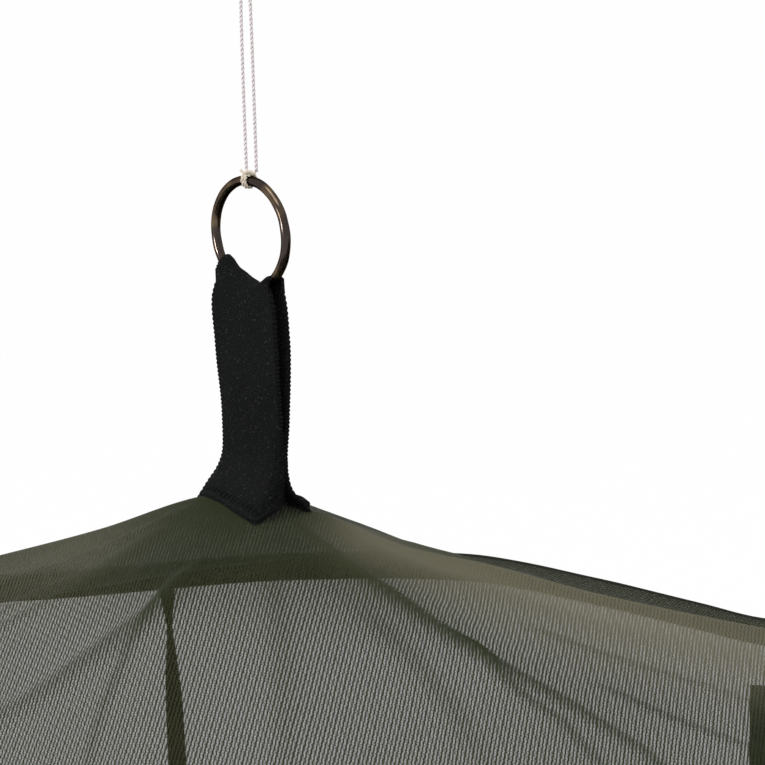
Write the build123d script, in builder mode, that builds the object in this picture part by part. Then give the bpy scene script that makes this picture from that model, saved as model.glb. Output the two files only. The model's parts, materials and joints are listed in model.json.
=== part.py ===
from build123d import *
import os
from math import asin, atan2, cos, degrees, pi, radians, sin, tan

os.makedirs("parts", exist_ok=True)

# Camping hammock with a sewn-in mosquito net, hung between two supports. Millimetres, +Z up.
# The origin is the bearing point of the head end loop. +X runs along the hammock to the foot
# end, -Y is the near side and +Y is the side with the zipped door.

# ---------------------------------------------------------------- driving dimensions
span = 2600.0               # between the bearing points of the two end loops
loop_reach = 150.0          # bearing point to the gathered end of the cloth
hang_angle = 30.0           # slope of the end loops below the horizontal

bed_sag = 500.0             # lowest cloth of the bed, below its gathered ends
hem_sag = 130.0             # side hems at the middle, below the gathered ends
bed_thickness = 1.0
gather_half_width = 45.0    # bunched end of the bed, where the sheet starts to open
gather_depth = 40.0
gather_past_loop = 20.0     # the bunched end lies this far beyond the end loop's reach
hem_bow = 0.65              # how fast the hems open out from the gathered ends
bed_bow = 0.85              # how fast the bed deepens from them
bed_seam_share = 0.45       # the two long seams of the bed, between its middle and the hems

peak_x = 700.0              # hanging points of the roof, from each bearing point
peak_z = 500.0
shoulder = 110.0            # beside each peak the roof is this far out when it has dropped by
shoulder_drop = 28.0
ridge_mid_z = 430.0
rod_x = 330.0               # spreader rods at the two ends of the roof
roof_half_width = 300.0
edge_rod_z = 395.0          # roof edge at the rods, at the peaks, beside them and at the middle
edge_peak_z = 405.0
edge_shoulder_z = 391.0
edge_mid_z = 380.0
wall_flare = 0.13           # how far the walls lean out, for each unit that they drop
net_thickness = 0.6

hem_width = 12.0            # rolled hem that joins the net walls to the bed
hem_thickness = 4.0
seam_width = 9.0            # binding tape on the roof edge
seam_thickness = 1.2
sewn_gap = 0.4              # between sewn neighbours
wall_tip_y = 35.0           # upper corner of each side wall at the gathered end
wall_tip_up = 20.0

rod_radius = 3.0
rod_short = 2.0             # gap between each end of the rod and the outside of its cap
rod_inset = 8.0             # between the caps and the side walls
sleeve_radius = 5.5
sleeve_wall = 1.2
cap_radius = 4.5
cap_length = 10.0
cap_floor = 1.5
cap_round = 1.0
end_net_rise = 25.0         # the end net's low edge, above the gathered cloth
end_net_low_half = 28.0

end_tape_width = 13.0       # webbing of the two end loops
end_tape_thickness = 2.0
eye_clearance = 2.0         # round the carabiner's bar, in the eye that it passes through
neck_half_width = 15.0      # bunched cloth where the whipping holds it
neck_half_height = 12.0
neck_length = 34.0
neck_short = 6.0            # the neck ends this far before the loop's reach
neck_flare = 6.0            # the cut end of the bunch is this much wider than the neck
neck_flare_length = 8.0
tape_short = 4.0            # the end loop's tape ends this far before the neck does
whipping_start = 9.0        # from the neck's start
whipping_length = 20.0
whipping_thickness = 4.0
whipping_side_gap = 1.5
whipping_corner = 8.0

carabiner_rod = 4.0         # radius of the bar
carabiner_bow = 18.0        # radius of each end of the oval, to the bar's centre
carabiner_side = 40.0       # straight sides
gate_radius = 3.2
gate_pin_radius = 1.0
gate_pin_inset = 3.0        # from the straight side's start
gate_pin_short = 0.6        # each end of the pin, below the bar's surface
gate_tip_short = 2.0        # the gate ends this far before the straight side does
gate_tongue = 3.0           # thickness of the tongue that the pin holds
gate_tongue_radius = 2.0
pin_clearance = 0.05
slot_clearance = 0.2
gate_clearance = 0.4        # between the gate's tip and the bar's nose
heel_clearance = 2.0        # between the bar's end and the gate, so that the heel turns past it

ring_radius = 13.75         # hanging ring, to the wire's centre
wire_radius = 1.25
ring_height = 70.0          # ring's centre above the roof's peak
elastic_width = 25.0        # webbing loop that holds the ring
elastic_thickness = 1.3
elastic_clearance = 0.3     # between the wire and the fold of webbing
elastic_turn = 40.0         # the loop's faces look this far round from -Y towards -X
elastic_foot = 6.0          # spread of each foot on the roof
elastic_pinch = 14.0        # height at which the two legs come together
elastic_pinch_gap = 0.6     # between the two legs there
elastic_open = 6.0          # below the fold the legs are this far apart again

twine_diameter = 1.0
twine_gap = 0.05            # between the twine's turns and the wire
twine_lean = 8.0            # the two strands stand side by side, turned this far from +X

zip_x = 827.0               # upright zip, and the start of the long zip above the hem
zip_end_x = 1750.0
zip_low_z = -110.0
zip_top_gap = 10.0          # between the upright zip's top and the roof edge
zip_tape_width = 13.0
zip_tape_thickness = 0.8
coil_width = 2.0            # each row of the nylon coil
coil_thickness = 1.6
coil_gap = 1.2              # between the two rows, for the slider's post
slider_length = 12.0
slider_width = 9.0
slider_plate = 1.0
slider_corner = 2.5
slider_post = 5.0           # length of the post between the coil's rows
slider_clearance = 0.3
stop_length = 3.0
bail_length = 3.2           # the two lugs that hold the pull's pin
bail_width = 1.2
bail_spread = 2.2           # from the zip's middle
pull_length = 32.0
pull_width = 8.0
pull_thickness = 1.5
pull_pin_radius = 0.7
pull_pin_height = 2.0
pull_eye_radius = 1.5
pull_hole_radius = 2.0
pull_corner = 2.0

tie_x = 618.0               # tie-out tapes that hang from the roof edge near each peak
tie_length = 240.0
tie_width = 8.0
tie_thickness = 0.8
door_tie_places = (1080.0, 1480.0)
door_tie_length = 90.0
door_tie_drop = 2.0         # below the roof's seam
door_tie_inset = 3.0        # inside the wall
toggle_radius = 3.0
toggle_length = 24.0

# ---------------------------------------------------------------- derived places
mid_x = span / 2
mid_plane = Plane(origin=(mid_x, 0, 0), z_dir=(1, 0, 0))
gather_x = loop_reach * cos(radians(hang_angle)) + gather_past_loop
gather_z = -loop_reach * sin(radians(hang_angle))


def cross_plane(x):
    """An upright plane across the hammock: its x is +Y and its y is +Z."""
    return Plane(origin=(x, 0, 0), x_dir=(0, 1, 0), z_dir=(1, 0, 0))


def fullness(x):
    """0 at a gathered end and 1 at the middle of the hammock."""
    u = (x - gather_x) / (span - 2 * gather_x)
    return 4 * u * (1 - u)


def between(x, places):
    """A height on the straight lines that join (x, height) places, the same from either end."""
    x = min(x, span - x)
    for (x0, z0), (x1, z1) in zip(places, places[1:]):
        if x <= x1:
            return z0 + (z1 - z0) * (x - x0) / (x1 - x0)
    return places[-1][1]


def edge_z(x):
    """Height of the roof's edge."""
    return between(x, [(rod_x, edge_rod_z), (peak_x - shoulder, edge_shoulder_z), (peak_x, edge_peak_z),
                       (peak_x + shoulder, edge_shoulder_z), (mid_x, edge_mid_z)])


def ridge_z(x):
    """Height of the roof's ridge."""
    beside = peak_z - shoulder_drop
    return between(x, [(rod_x, edge_rod_z + 3), (peak_x - shoulder, beside), (peak_x, peak_z),
                       (peak_x + shoulder, beside), (mid_x, ridge_mid_z)])


def hem_z(x):
    return gather_z - hem_sag * fullness(x)


def bed_z(x):
    return gather_z - gather_depth - (bed_sag - gather_depth) * fullness(x) ** bed_bow


def wall_y(z):
    """The plane that each side wall lies in between the two peaks."""
    return roof_half_width + (edge_peak_z - z) * wall_flare


def hem_y(x):
    opened = min(1.0, fullness(x) / fullness(peak_x)) ** hem_bow
    return gather_half_width + (wall_y(hem_z(x)) - gather_half_width) * opened


def wall_top(x):
    """The upper edge of a side wall: the roof's edge, and past the rods the seam to the gather."""
    x = min(x, span - x)
    if x >= rod_x:
        return wall_y(edge_z(x)), edge_z(x)
    share = (x - gather_x) / (rod_x - gather_x)
    low_y, low_z = wall_tip_y, gather_z + wall_tip_up
    return low_y + (wall_y(edge_rod_z) - low_y) * share, low_z + (edge_rod_z - low_z) * share


def finish(piece, label):
    """Label a finished piece and write it."""
    piece.part.label = label
    export_step(piece.part, f"parts/{label}.step")


def mirrored(piece):
    """The same piece at the foot end."""
    with BuildPart() as copy:
        add(piece.part)
        mirror(about=mid_plane, mode=Mode.REPLACE)
    return copy


def polygon(plane, points):
    """A closed polygon on a plane, as one section of a loft."""
    with BuildSketch(plane) as section:
        with BuildLine():
            Polyline(*points, close=True)
        make_face()
    return section.sketch


half = [gather_x, (gather_x + rod_x) / 2, rod_x, (rod_x + peak_x - shoulder) / 2, peak_x - shoulder, peak_x,
        peak_x + shoulder, (peak_x + shoulder + mid_x) / 2]
stations = half + [mid_x] + [span - x for x in reversed(half)]
roof_stations = [x for x in stations if rod_x <= x <= span - rod_x]

# ---------------------------------------------------------------- bed
# Three long panels of ripstop, joined by two seams and gathered at both ends: a thin trough that
# opens from each end. Each cross-section is an arc between the two hems.
def bed_point(x, share, inside, gap=0.0):
    """A (y, z) of the bed: share from -1 at the near hem to 1 at the far one, and a gap along it."""
    half, depth = hem_y(x), hem_z(x) - hem_width / 2 - sewn_gap - bed_z(x)
    radius = (half ** 2 + depth ** 2) / (2 * depth)
    angle = share * atan2(half, radius - depth) + gap / radius
    return (radius - inside) * sin(angle), bed_z(x) + radius - (radius - inside) * cos(angle)


def bed_panel(start, end):
    """A panel between two shares, half a sewn gap short at a seam."""
    gaps = (sewn_gap / 2 if start > -1 else 0, -sewn_gap / 2 if end < 1 else 0)
    with BuildPart() as panel:
        for x in stations:
            outer = [bed_point(x, start, 0, gaps[0]), bed_point(x, (start + end) / 2, 0),
                     bed_point(x, end, 0, gaps[1])]
            inner = [bed_point(x, end, bed_thickness, gaps[1]),
                     bed_point(x, (start + end) / 2, bed_thickness),
                     bed_point(x, start, bed_thickness, gaps[0])]
            with BuildSketch(cross_plane(x)):
                with BuildLine():
                    ThreePointArc(*outer)
                    Line(outer[2], inner[0])
                    ThreePointArc(*inner)
                    Line(inner[2], outer[0])
                make_face()
        loft(ruled=True)
    return panel


for start, end, name in ((-1, -bed_seam_share, "near"), (-bed_seam_share, bed_seam_share, "middle"),
                         (bed_seam_share, 1, "far")):
    bed = bed_panel(start, end)
    finish(bed, f"bed_{name}_panel")


def side_strip(side, section_at, places):
    """A thin solid along one side, lofted through the (y, z) corners that section_at gives."""
    sections = [polygon(cross_plane(x), [(side * y, z) for y, z in section_at(x)]) for x in places]
    with BuildPart() as strip:
        loft(sections, ruled=True)
    return strip


def hem_section(x):
    y, z = hem_y(x), hem_z(x)
    return [(y - hem_thickness / 2, z - hem_width / 2), (y + hem_thickness / 2, z - hem_width / 2),
            (y + hem_thickness / 2, z + hem_width / 2), (y - hem_thickness / 2, z + hem_width / 2)]


def wall_edges(x):
    """The inner (y, z) of a net wall at its hem and just under the roof's edge."""
    top_y, top_z = wall_top(x)
    above_hem = hem_width / 2 + sewn_gap
    return ((hem_y(x) - above_hem * wall_flare, hem_z(x) + above_hem),
            (top_y, top_z - sewn_gap - net_thickness))


def side_wall(side):
    """A net wall: flat facets between neighbouring stations, each as thick as the net."""
    with BuildPart() as wall:
        for a, b in zip(stations, stations[1:]):
            corners = [Vector(x, side * y, z) for x in (a, b) for y, z in wall_edges(x)]
            low_a, top_a, low_b, top_b = corners
            for facet in ((low_a, low_b, top_b), (low_a, top_b, top_a)):
                face = Face(Wire.make_polygon(facet, close=True))
                extrude(face, amount=net_thickness, dir=(0, side, 0))
    return wall


def seam_section(x):
    """Binding tape on the outside of the wall's top."""
    y = wall_y(edge_z(x)) + net_thickness + sewn_gap
    top = edge_z(x)
    low = top - seam_width
    lean = seam_width * wall_flare
    return [(y + lean, low), (y + lean + seam_thickness, low), (y + seam_thickness, top), (y, top)]


for side, name in ((-1, "near"), (1, "far")):
    hem = side_strip(side, hem_section, stations)
    finish(hem, f"{name}_hem")
    seam = side_strip(side, seam_section, roof_stations)
    finish(seam, f"{name}_roof_seam")

near_wall_net = side_wall(-1)
finish(near_wall_net, "near_wall_net")

# ---------------------------------------------------------------- far wall and its two zips
# The plane of the wall where the door is: x along the hammock, y up the wall, z inwards.
wall_up = Vector(0, -wall_flare, 1).normalized()
wall_out = Vector(0, 1, wall_flare).normalized()
corner = Vector(zip_x, wall_y(zip_low_z) + net_thickness / 2, zip_low_z)
door_plane = Plane(origin=corner, x_dir=(1, 0, 0), z_dir=-wall_out)
zip_height = (edge_z(zip_x) - zip_top_gap - zip_low_z) / wall_up.Z
zip_length = zip_end_x - zip_x
zip_slot = 2 * zip_tape_width + coil_gap + 2 * sewn_gap

with BuildPart() as far_wall_net:
    add(side_wall(1).part)
    with BuildSketch(door_plane.offset(-zip_slot / 2)):
        with Locations((0, (zip_height - zip_slot) / 2)):
            Rectangle(zip_slot, zip_height + zip_slot)
        with Locations(((zip_length - zip_slot) / 2, 0)):
            Rectangle(zip_length + zip_slot, zip_slot)
    extrude(amount=zip_slot, mode=Mode.SUBTRACT)
finish(far_wall_net, "far_wall_net")

# Two straight zips meet at the corner. The upright zip stops above the long one.
upright_start = zip_slot / 2 + sewn_gap
upright_plane = Plane(origin=corner + wall_up * upright_start, x_dir=wall_up, z_dir=wall_out)
long_plane = Plane(origin=corner, x_dir=(1, 0, 0), z_dir=wall_out)
zips = (("door_upright_zip", upright_plane, zip_height - upright_start - zip_slot / 2),
        ("door_long_zip", long_plane, zip_length - zip_slot / 2))
slider_start = stop_length + slider_length / 2 + 2 * slider_clearance

for name, plane, length in zips:
    tape_middle = (coil_gap + zip_tape_width) / 2
    with BuildPart() as tapes:
        with BuildSketch(plane.offset(-zip_tape_thickness / 2)):
            with Locations((length / 2, tape_middle), (length / 2, -tape_middle)):
                Rectangle(length, zip_tape_width)
        extrude(amount=zip_tape_thickness)
    finish(tapes, f"{name}_tapes")

    coil_low = zip_tape_thickness / 2 + pin_clearance
    coil_middle = (coil_gap + coil_width) / 2
    with BuildPart() as coils:
        with BuildSketch(plane.offset(coil_low)):
            with Locations((length / 2, coil_middle), (length / 2, -coil_middle)):
                Rectangle(length - 2 * stop_length - 2 * sewn_gap, coil_width)
        extrude(amount=coil_thickness)
    finish(coils, f"{name}_coils")

    with BuildPart() as stops:
        with BuildSketch(plane.offset(coil_low)):
            with Locations((stop_length / 2, 0), (length - stop_length / 2, 0)):
                Rectangle(stop_length - sewn_gap, coil_gap + 3 * coil_width)
        extrude(amount=coil_thickness + slider_clearance)
    finish(stops, f"{name}_stops")

    # Slider: an outer and an inner plate round the coil, joined by the post between its rows.
    inner_low = -zip_tape_thickness / 2 - slider_clearance - slider_plate
    outer_low = coil_low + coil_thickness + slider_clearance
    post_thickness = coil_gap - 2 * slider_clearance
    flange = (slider_width - slider_plate) / 2
    with BuildPart() as slider:
        for low in (inner_low, outer_low):
            with BuildSketch(plane.offset(low)):
                with Locations((slider_start, 0)):
                    RectangleRounded(slider_length, slider_width, slider_corner)
            extrude(amount=slider_plate)
        with BuildSketch(plane.offset(inner_low)):
            with Locations((slider_start, 0)):
                Rectangle(slider_post, post_thickness)
        extrude(amount=outer_low - inner_low + slider_plate)
        with BuildSketch(plane.offset(outer_low)):
            with Locations((slider_start, flange), (slider_start, -flange)):
                Rectangle(slider_length - 2 * slider_corner, slider_plate)
        extrude(amount=-coil_thickness)
        bail_low = outer_low + slider_plate
        for bail in (-bail_spread, bail_spread):
            with BuildSketch(plane.offset(bail_low)):
                with Locations((slider_start, bail)):
                    Rectangle(bail_length, bail_width)
            extrude(amount=bail_length)
        pin_plane = Plane(origin=plane.from_local_coords((slider_start, 0, bail_low + pull_pin_height)),
                          x_dir=plane.x_dir, z_dir=plane.y_dir)
        with BuildSketch(pin_plane):
            Circle(pull_pin_radius)
        extrude(amount=bail_spread + bail_width / 2, both=True)
    finish(slider, f"{name}_slider")

    # Pull tab: its eye turns on the slider's cross pin. The upright zip's tab hangs down.
    along = -1 if "upright" in name else 1
    eye_half_width = bail_spread - bail_width / 2 - slider_clearance
    clear_of_lugs = bail_length / 2 + 2 * slider_clearance
    with BuildPart() as pull:
        with BuildSketch(Plane(origin=pin_plane.origin, x_dir=plane.x_dir, z_dir=plane.z_dir)
                         .offset(-pull_thickness / 2)):
            with Locations((along * (clear_of_lugs + pull_length) / 2, 0)):
                RectangleRounded(pull_length - clear_of_lugs, pull_width, pull_corner)
            with Locations((along * clear_of_lugs, 0)):
                Rectangle(2 * clear_of_lugs, 2 * eye_half_width)
            with Locations((along * (pull_length - 2 * pull_hole_radius - 1), 0)):
                Circle(pull_hole_radius, mode=Mode.SUBTRACT)
        extrude(amount=pull_thickness)
        with BuildSketch(pin_plane):
            Circle(pull_eye_radius)
        extrude(amount=eye_half_width, both=True)
        with BuildSketch(pin_plane):
            Circle(pull_pin_radius + pin_clearance)
        extrude(amount=pull_width, both=True, mode=Mode.SUBTRACT)
    finish(pull, f"{name}_pull")

# ---------------------------------------------------------------- roof
def roof_section(x):
    """Both slopes of the roof at one place along it."""
    y, z = wall_y(edge_z(x)) - sewn_gap, edge_z(x)
    return polygon(cross_plane(x), [(-y, z), (0, ridge_z(x)), (y, z), (y, z - net_thickness),
                                    (0, ridge_z(x) - net_thickness), (-y, z - net_thickness)])


with BuildPart() as roof_net:
    loft([roof_section(x) for x in roof_stations], ruled=True)
finish(roof_net, "roof_net")

# Tie-out tapes on both roof edges, one near each peak, hanging free outside the walls.
for side, name in ((-1, "near"), (1, "far")):
    with BuildPart() as ties:
        for x in (tie_x, span - tie_x):
            top = edge_z(x) - seam_width - sewn_gap
            outside = net_thickness + 2 * sewn_gap + seam_thickness
            with BuildSketch(Plane.XY.offset(top)):
                with Locations((x, side * (wall_y(top) + outside))):
                    Rectangle(tie_width, tie_thickness)
            with BuildSketch(Plane.XY.offset(top - tie_length)):
                with Locations((x, side * (wall_y(top - tie_length) + outside))):
                    Rectangle(tie_width, tie_thickness)
            loft(ruled=True, mode=Mode.ADD)
    finish(ties, f"{name}_tie_tapes")

# Door ties: a folded ribbon and a toggle, inside the roof edge above the door.
with BuildPart() as door_tie_ribbons:
    for x in door_tie_places:
        top = edge_z(x) - seam_width - door_tie_drop
        with BuildSketch(Plane.XY.offset(top)):
            with Locations((x, wall_y(top) - door_tie_inset)):
                Rectangle(tie_width, tie_thickness)
        extrude(amount=-door_tie_length)
with BuildPart() as door_toggles:
    for x in door_tie_places:
        top = edge_z(x) - seam_width - door_tie_drop
        toggle_z = top - door_tie_length - toggle_radius - sewn_gap
        toggle_plane = Plane(origin=(x, wall_y(top) - door_tie_inset, toggle_z), z_dir=(1, 0, 0))
        with BuildSketch(toggle_plane):
            Circle(toggle_radius)
        extrude(amount=toggle_length / 2, both=True)
finish(door_tie_ribbons, "door_tie_ribbons")
finish(door_toggles, "door_toggles")

# ---------------------------------------------------------------- roof ends and spreader rods
# Each rod lies in a sleeve just under the roof's end and holds the roof at its width.
rod_z = edge_rod_z - net_thickness - sewn_gap - sleeve_radius
rod_plane = Plane(origin=(rod_x, 0, rod_z), x_dir=(1, 0, 0), z_dir=(0, 1, 0))
rod_half = wall_y(rod_z) - rod_inset
sleeve_half = rod_half - cap_length - 2 * sewn_gap

with BuildPart() as head_rod_sleeve:
    with BuildSketch(rod_plane):
        Circle(sleeve_radius)
        Circle(sleeve_radius - sleeve_wall, mode=Mode.SUBTRACT)
    extrude(amount=sleeve_half, both=True)

with BuildPart() as head_rod:
    with BuildSketch(rod_plane):
        Circle(rod_radius)
    extrude(amount=rod_half - rod_short, both=True)

with BuildPart() as head_rod_caps:
    for side in (-1, 1):
        cap_start = side * (rod_half - cap_length)
        with BuildSketch(rod_plane.offset(cap_start)):
            Circle(cap_radius)
        extrude(amount=side * cap_length)
        with BuildSketch(rod_plane.offset(cap_start)):
            Circle(rod_radius + pin_clearance)
        extrude(amount=side * (cap_length - cap_floor), mode=Mode.SUBTRACT)
    fillet(head_rod_caps.edges().filter_by(GeomType.CIRCLE).sort_by(Axis.Y)[-1], cap_round)
    fillet(head_rod_caps.edges().filter_by(GeomType.CIRCLE).sort_by(Axis.Y)[0], cap_round)

end_net_top = rod_z + sleeve_radius
end_net_low = gather_z + end_net_rise
with BuildPart() as head_end_net:
    with BuildSketch(Plane.XY.offset(end_net_top)):
        with Locations((rod_x - sleeve_radius - net_thickness / 2 - sewn_gap, 0)):
            Rectangle(net_thickness, 2 * rod_half)
    with BuildSketch(Plane.XY.offset(end_net_low)):
        with Locations((gather_x + hem_width, 0)):
            Rectangle(net_thickness, 2 * end_net_low_half)
    loft(ruled=True)

# ---------------------------------------------------------------- gathered ends and end loops
# A frame at each end: x from the bearing point to the cloth, y up and across it, z along +Y.
reach = Vector(cos(radians(hang_angle)), 0, -sin(radians(hang_angle)))
end_plane = Plane(origin=(0, 0, 0), x_dir=reach, z_dir=(0, -1, 0))


def across_end(distance):
    """A plane square to the end loop, at this distance from its bearing point."""
    return Plane(origin=reach * distance, x_dir=(0, 1, 0), z_dir=reach)


neck_end = loop_reach - neck_short
neck_start = neck_end - neck_length
with BuildPart() as head_gather:
    with BuildSketch(across_end(neck_start)):
        Ellipse(neck_half_width + neck_flare, neck_half_height)
    with BuildSketch(across_end(neck_start + neck_flare_length)):
        Ellipse(neck_half_width, neck_half_height)
    with BuildSketch(across_end(neck_end)):
        Ellipse(neck_half_width, neck_half_height)
    loft(ruled=True)
    with BuildSketch(across_end(neck_end)):
        Ellipse(neck_half_width, neck_half_height)
    with BuildSketch(cross_plane(gather_x - sewn_gap)):
        with Locations((0, gather_z - gather_depth / 2)):
            Ellipse(gather_half_width, gather_depth / 2)
    loft(ruled=True)

leg = neck_half_height + sewn_gap + end_tape_thickness / 2
eye = carabiner_rod + eye_clearance + end_tape_thickness / 2
tape_end = neck_end - tape_short
with BuildPart() as head_end_loop:
    with BuildSketch(end_plane):
        with BuildLine():
            upper = Line((tape_end, leg), (neck_start, leg))
            upper_run = Line(upper @ 1, (0, eye))
            ThreePointArc(upper_run @ 1, (-eye, 0), (0, -eye))
            lower_run = Line((0, -eye), (neck_start, -leg))
            Line(lower_run @ 1, (tape_end, -leg))
            offset(amount=end_tape_thickness / 2, kind=Kind.INTERSECTION, side=Side.BOTH)
        make_face()
    extrude(amount=end_tape_width / 2, both=True)

whipping_height = 2 * (leg + end_tape_thickness / 2 + sewn_gap)
whipping_width = 2 * (neck_half_width + whipping_side_gap)
with BuildPart() as head_whipping:
    with BuildSketch(across_end(neck_start + whipping_start)):
        RectangleRounded(whipping_width + 2 * whipping_thickness, whipping_height + 2 * whipping_thickness,
                         whipping_corner)
        RectangleRounded(whipping_width, whipping_height, whipping_corner - whipping_thickness,
                         mode=Mode.SUBTRACT)
    extrude(amount=whipping_length)

# ---------------------------------------------------------------- carabiners
# Oval carabiner in line with the pull: its plane holds +Y and the line of the end loop.
# x runs away from the hammock, y along +Y, and z is the axis that the gate turns on.
bar_plane = Plane(origin=(0, 0, 0), x_dir=-reach, z_dir=Vector(-reach.Z, 0, reach.X) * -1)
bow, side_start = carabiner_bow, carabiner_bow
side_end = side_start + carabiner_side
gate_foot = side_start + gate_clearance
gate_tip = side_end - gate_tip_short
pin_at = side_start - gate_pin_inset

with BuildPart() as head_carabiner:
    with BuildLine(bar_plane) as bar_path:
        Line((gate_foot, bow), (side_start, bow))
        ThreePointArc((side_start, bow), (0, 0), (side_start, -bow))
        Line((side_start, -bow), (side_end, -bow))
        ThreePointArc((side_end, -bow), (side_end + bow, 0), (side_end, bow))
        Line((side_end, bow), (gate_tip, bow))
    with BuildSketch(Plane(origin=bar_path.line @ 0, z_dir=bar_path.line % 0)):
        Circle(carabiner_rod)
    sweep()
    slot_plane = bar_plane.offset(-gate_tongue / 2 - slot_clearance)
    with BuildSketch(slot_plane):
        with Locations((gate_foot, bow)):
            Rectangle(2 * (gate_foot - pin_at + gate_tongue_radius + 1), 4 * carabiner_rod)
    extrude(amount=gate_tongue + 2 * slot_clearance, mode=Mode.SUBTRACT)
    with BuildSketch(bar_plane):
        with Locations((pin_at, bow)):
            Circle(gate_pin_radius)
    extrude(amount=2 * carabiner_rod, both=True, mode=Mode.SUBTRACT)

with BuildPart() as head_gate_pin:
    with BuildSketch(bar_plane):
        with Locations((pin_at, bow)):
            Circle(gate_pin_radius)
    extrude(amount=carabiner_rod - gate_pin_short, both=True)

gate_start = gate_foot + heel_clearance
gate_line = Plane(origin=bar_plane.from_local_coords((gate_start, bow, 0)), z_dir=-reach)
with BuildPart() as head_gate:
    with BuildSketch(gate_line):
        Circle(gate_radius)
    extrude(amount=gate_tip - gate_start - gate_clearance)
    with BuildSketch(bar_plane.offset(-gate_tongue / 2)):
        with Locations(((pin_at + gate_start + 1) / 2, bow)):
            Rectangle(gate_start + 1 - pin_at, 2 * gate_tongue_radius)
        with Locations((pin_at, bow)):
            Circle(gate_tongue_radius)
            Circle(gate_pin_radius + pin_clearance, mode=Mode.SUBTRACT)
    extrude(amount=gate_tongue)

# ---------------------------------------------------------------- hanging ring and webbing loop
# The loop is elastic webbing, sewn to the roof's peak and folded up over the ring's lowest wire.
# ring_plane looks along the ring's axis: x along the fold, y up, z out of the loop's front.
turn = radians(elastic_turn)
front = Vector(-sin(turn), -cos(turn), 0)
fold = Vector(cos(turn), -sin(turn), 0)
peak = Vector(peak_x, 0, peak_z)
ring_centre = peak + Vector(0, 0, ring_height)
ring_plane = Plane(origin=ring_centre, x_dir=fold, z_dir=front)

with BuildPart() as head_ring:
    with BuildSketch(Plane(origin=ring_centre + fold * ring_radius, x_dir=fold, z_dir=(0, 0, 1))):
        Circle(wire_radius)
    revolve(axis=Axis(ring_centre, front), revolution_arc=360)

fold_half_angle = degrees(asin(elastic_width / 2 / ring_radius))
fold_inside = wire_radius + elastic_clearance
fold_outside = fold_inside + elastic_thickness
leg_middle = fold_inside + elastic_thickness / 2
leg_top = ring_height - ring_radius * cos(radians(fold_half_angle))
pinch_middle = (elastic_thickness + elastic_pinch_gap) / 2
fold_height = ring_height - ring_radius


def under_roof(gap):
    """The space under the roof, up to a gap above it, to trim what stands on it."""
    sections = []
    for x in (peak_x - shoulder, peak_x, peak_x + shoulder):
        y, z = wall_y(edge_z(x)), edge_z(x) + gap
        sections.append(polygon(cross_plane(x), [(-y, z), (0, ridge_z(x) + gap), (y, z),
                                                 (y, z - shoulder), (-y, z - shoulder)]))
    with BuildPart() as space:
        loft(sections, ruled=True)
    return space.part


below_roof = under_roof(sewn_gap)
with BuildPart() as head_elastic:
    leg_plane = Plane(origin=peak + fold * (elastic_width / 2), x_dir=front, z_dir=-fold)
    for leg_side in (-1, 1):
        with BuildSketch(leg_plane):
            with BuildLine():
                Polyline((leg_side * elastic_foot, -elastic_foot), (leg_side * elastic_foot, 1),
                         (leg_side * pinch_middle, elastic_pinch),
                         (leg_side * leg_middle, fold_height - elastic_open),
                         (leg_side * leg_middle, leg_top))
                offset(amount=elastic_thickness / 2, kind=Kind.INTERSECTION, side=Side.BOTH)
            make_face()
        extrude(amount=elastic_width)
    # Inside the wire's circle the legs stop, and the fold goes over the wire.
    with BuildSketch(ring_plane):
        Circle(ring_radius)
    extrude(amount=2 * elastic_foot, both=True, mode=Mode.SUBTRACT)
    section_plane = Plane(origin=ring_centre, x_dir=front, z_dir=-fold)
    for way in (front, -front):
        with BuildSketch(section_plane):
            with BuildLine():
                ThreePointArc((fold_outside, -ring_radius), (0, fold_outside - ring_radius),
                              (-fold_outside, -ring_radius))
                Line((-fold_outside, -ring_radius), (-fold_inside, -ring_radius))
                ThreePointArc((-fold_inside, -ring_radius), (0, fold_inside - ring_radius),
                              (fold_inside, -ring_radius))
                Line((fold_inside, -ring_radius), (fold_outside, -ring_radius))
            make_face()
        revolve(axis=Axis(ring_centre, way), revolution_arc=fold_half_angle)
    add(below_roof, mode=Mode.SUBTRACT)

for name, piece in (("rod_sleeve", head_rod_sleeve), ("spreader_rod", head_rod), ("rod_caps", head_rod_caps),
                    ("end_net", head_end_net), ("gather", head_gather), ("end_loop", head_end_loop),
                    ("whipping", head_whipping), ("carabiner", head_carabiner), ("gate_pin", head_gate_pin),
                    ("gate", head_gate), ("ring", head_ring), ("elastic_loop", head_elastic)):
    finish(piece, f"head_{name}")
    finish(mirrored(piece), f"foot_{name}")

# ---------------------------------------------------------------- hanging twine
# One twine, doubled: from its knot on the ring up one strand, round the bight that goes on a
# hook, and down the other strand to the ring. Places are (across, height above the ring's centre).
strands = Vector(cos(radians(twine_lean)), sin(radians(twine_lean)), 0)
wrap_radius = wire_radius + twine_gap + twine_diameter / 2
strand_start = ring_radius + wrap_radius + twine_diameter / 2
twine_route = [(-0.9, strand_start), (-2.4, 61.0), (-1.5, 71.0), (-1.9, 76.0), (-6.6, 82.5), (-5.4, 89.6),
               (-1.0, 92.6), (3.4, 89.1), (4.3, 82.0), (-0.2, 75.5), (-0.5, 70.5), (0.4, 61.0),
               (1.6, strand_start)]
twine_points = [ring_centre + strands * across + Vector(0, 0, up) for across, up in twine_route]


def bend_radii(points):
    """The largest arc that each corner's two runs allow."""
    radii = []
    for before, at, after in zip(points, points[1:], points[2:]):
        turned = radians((at - before).get_angle(after - at))
        radii.append(0.45 * min((at - before).length, (after - at).length) / tan(turned / 2))
    return radii


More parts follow.
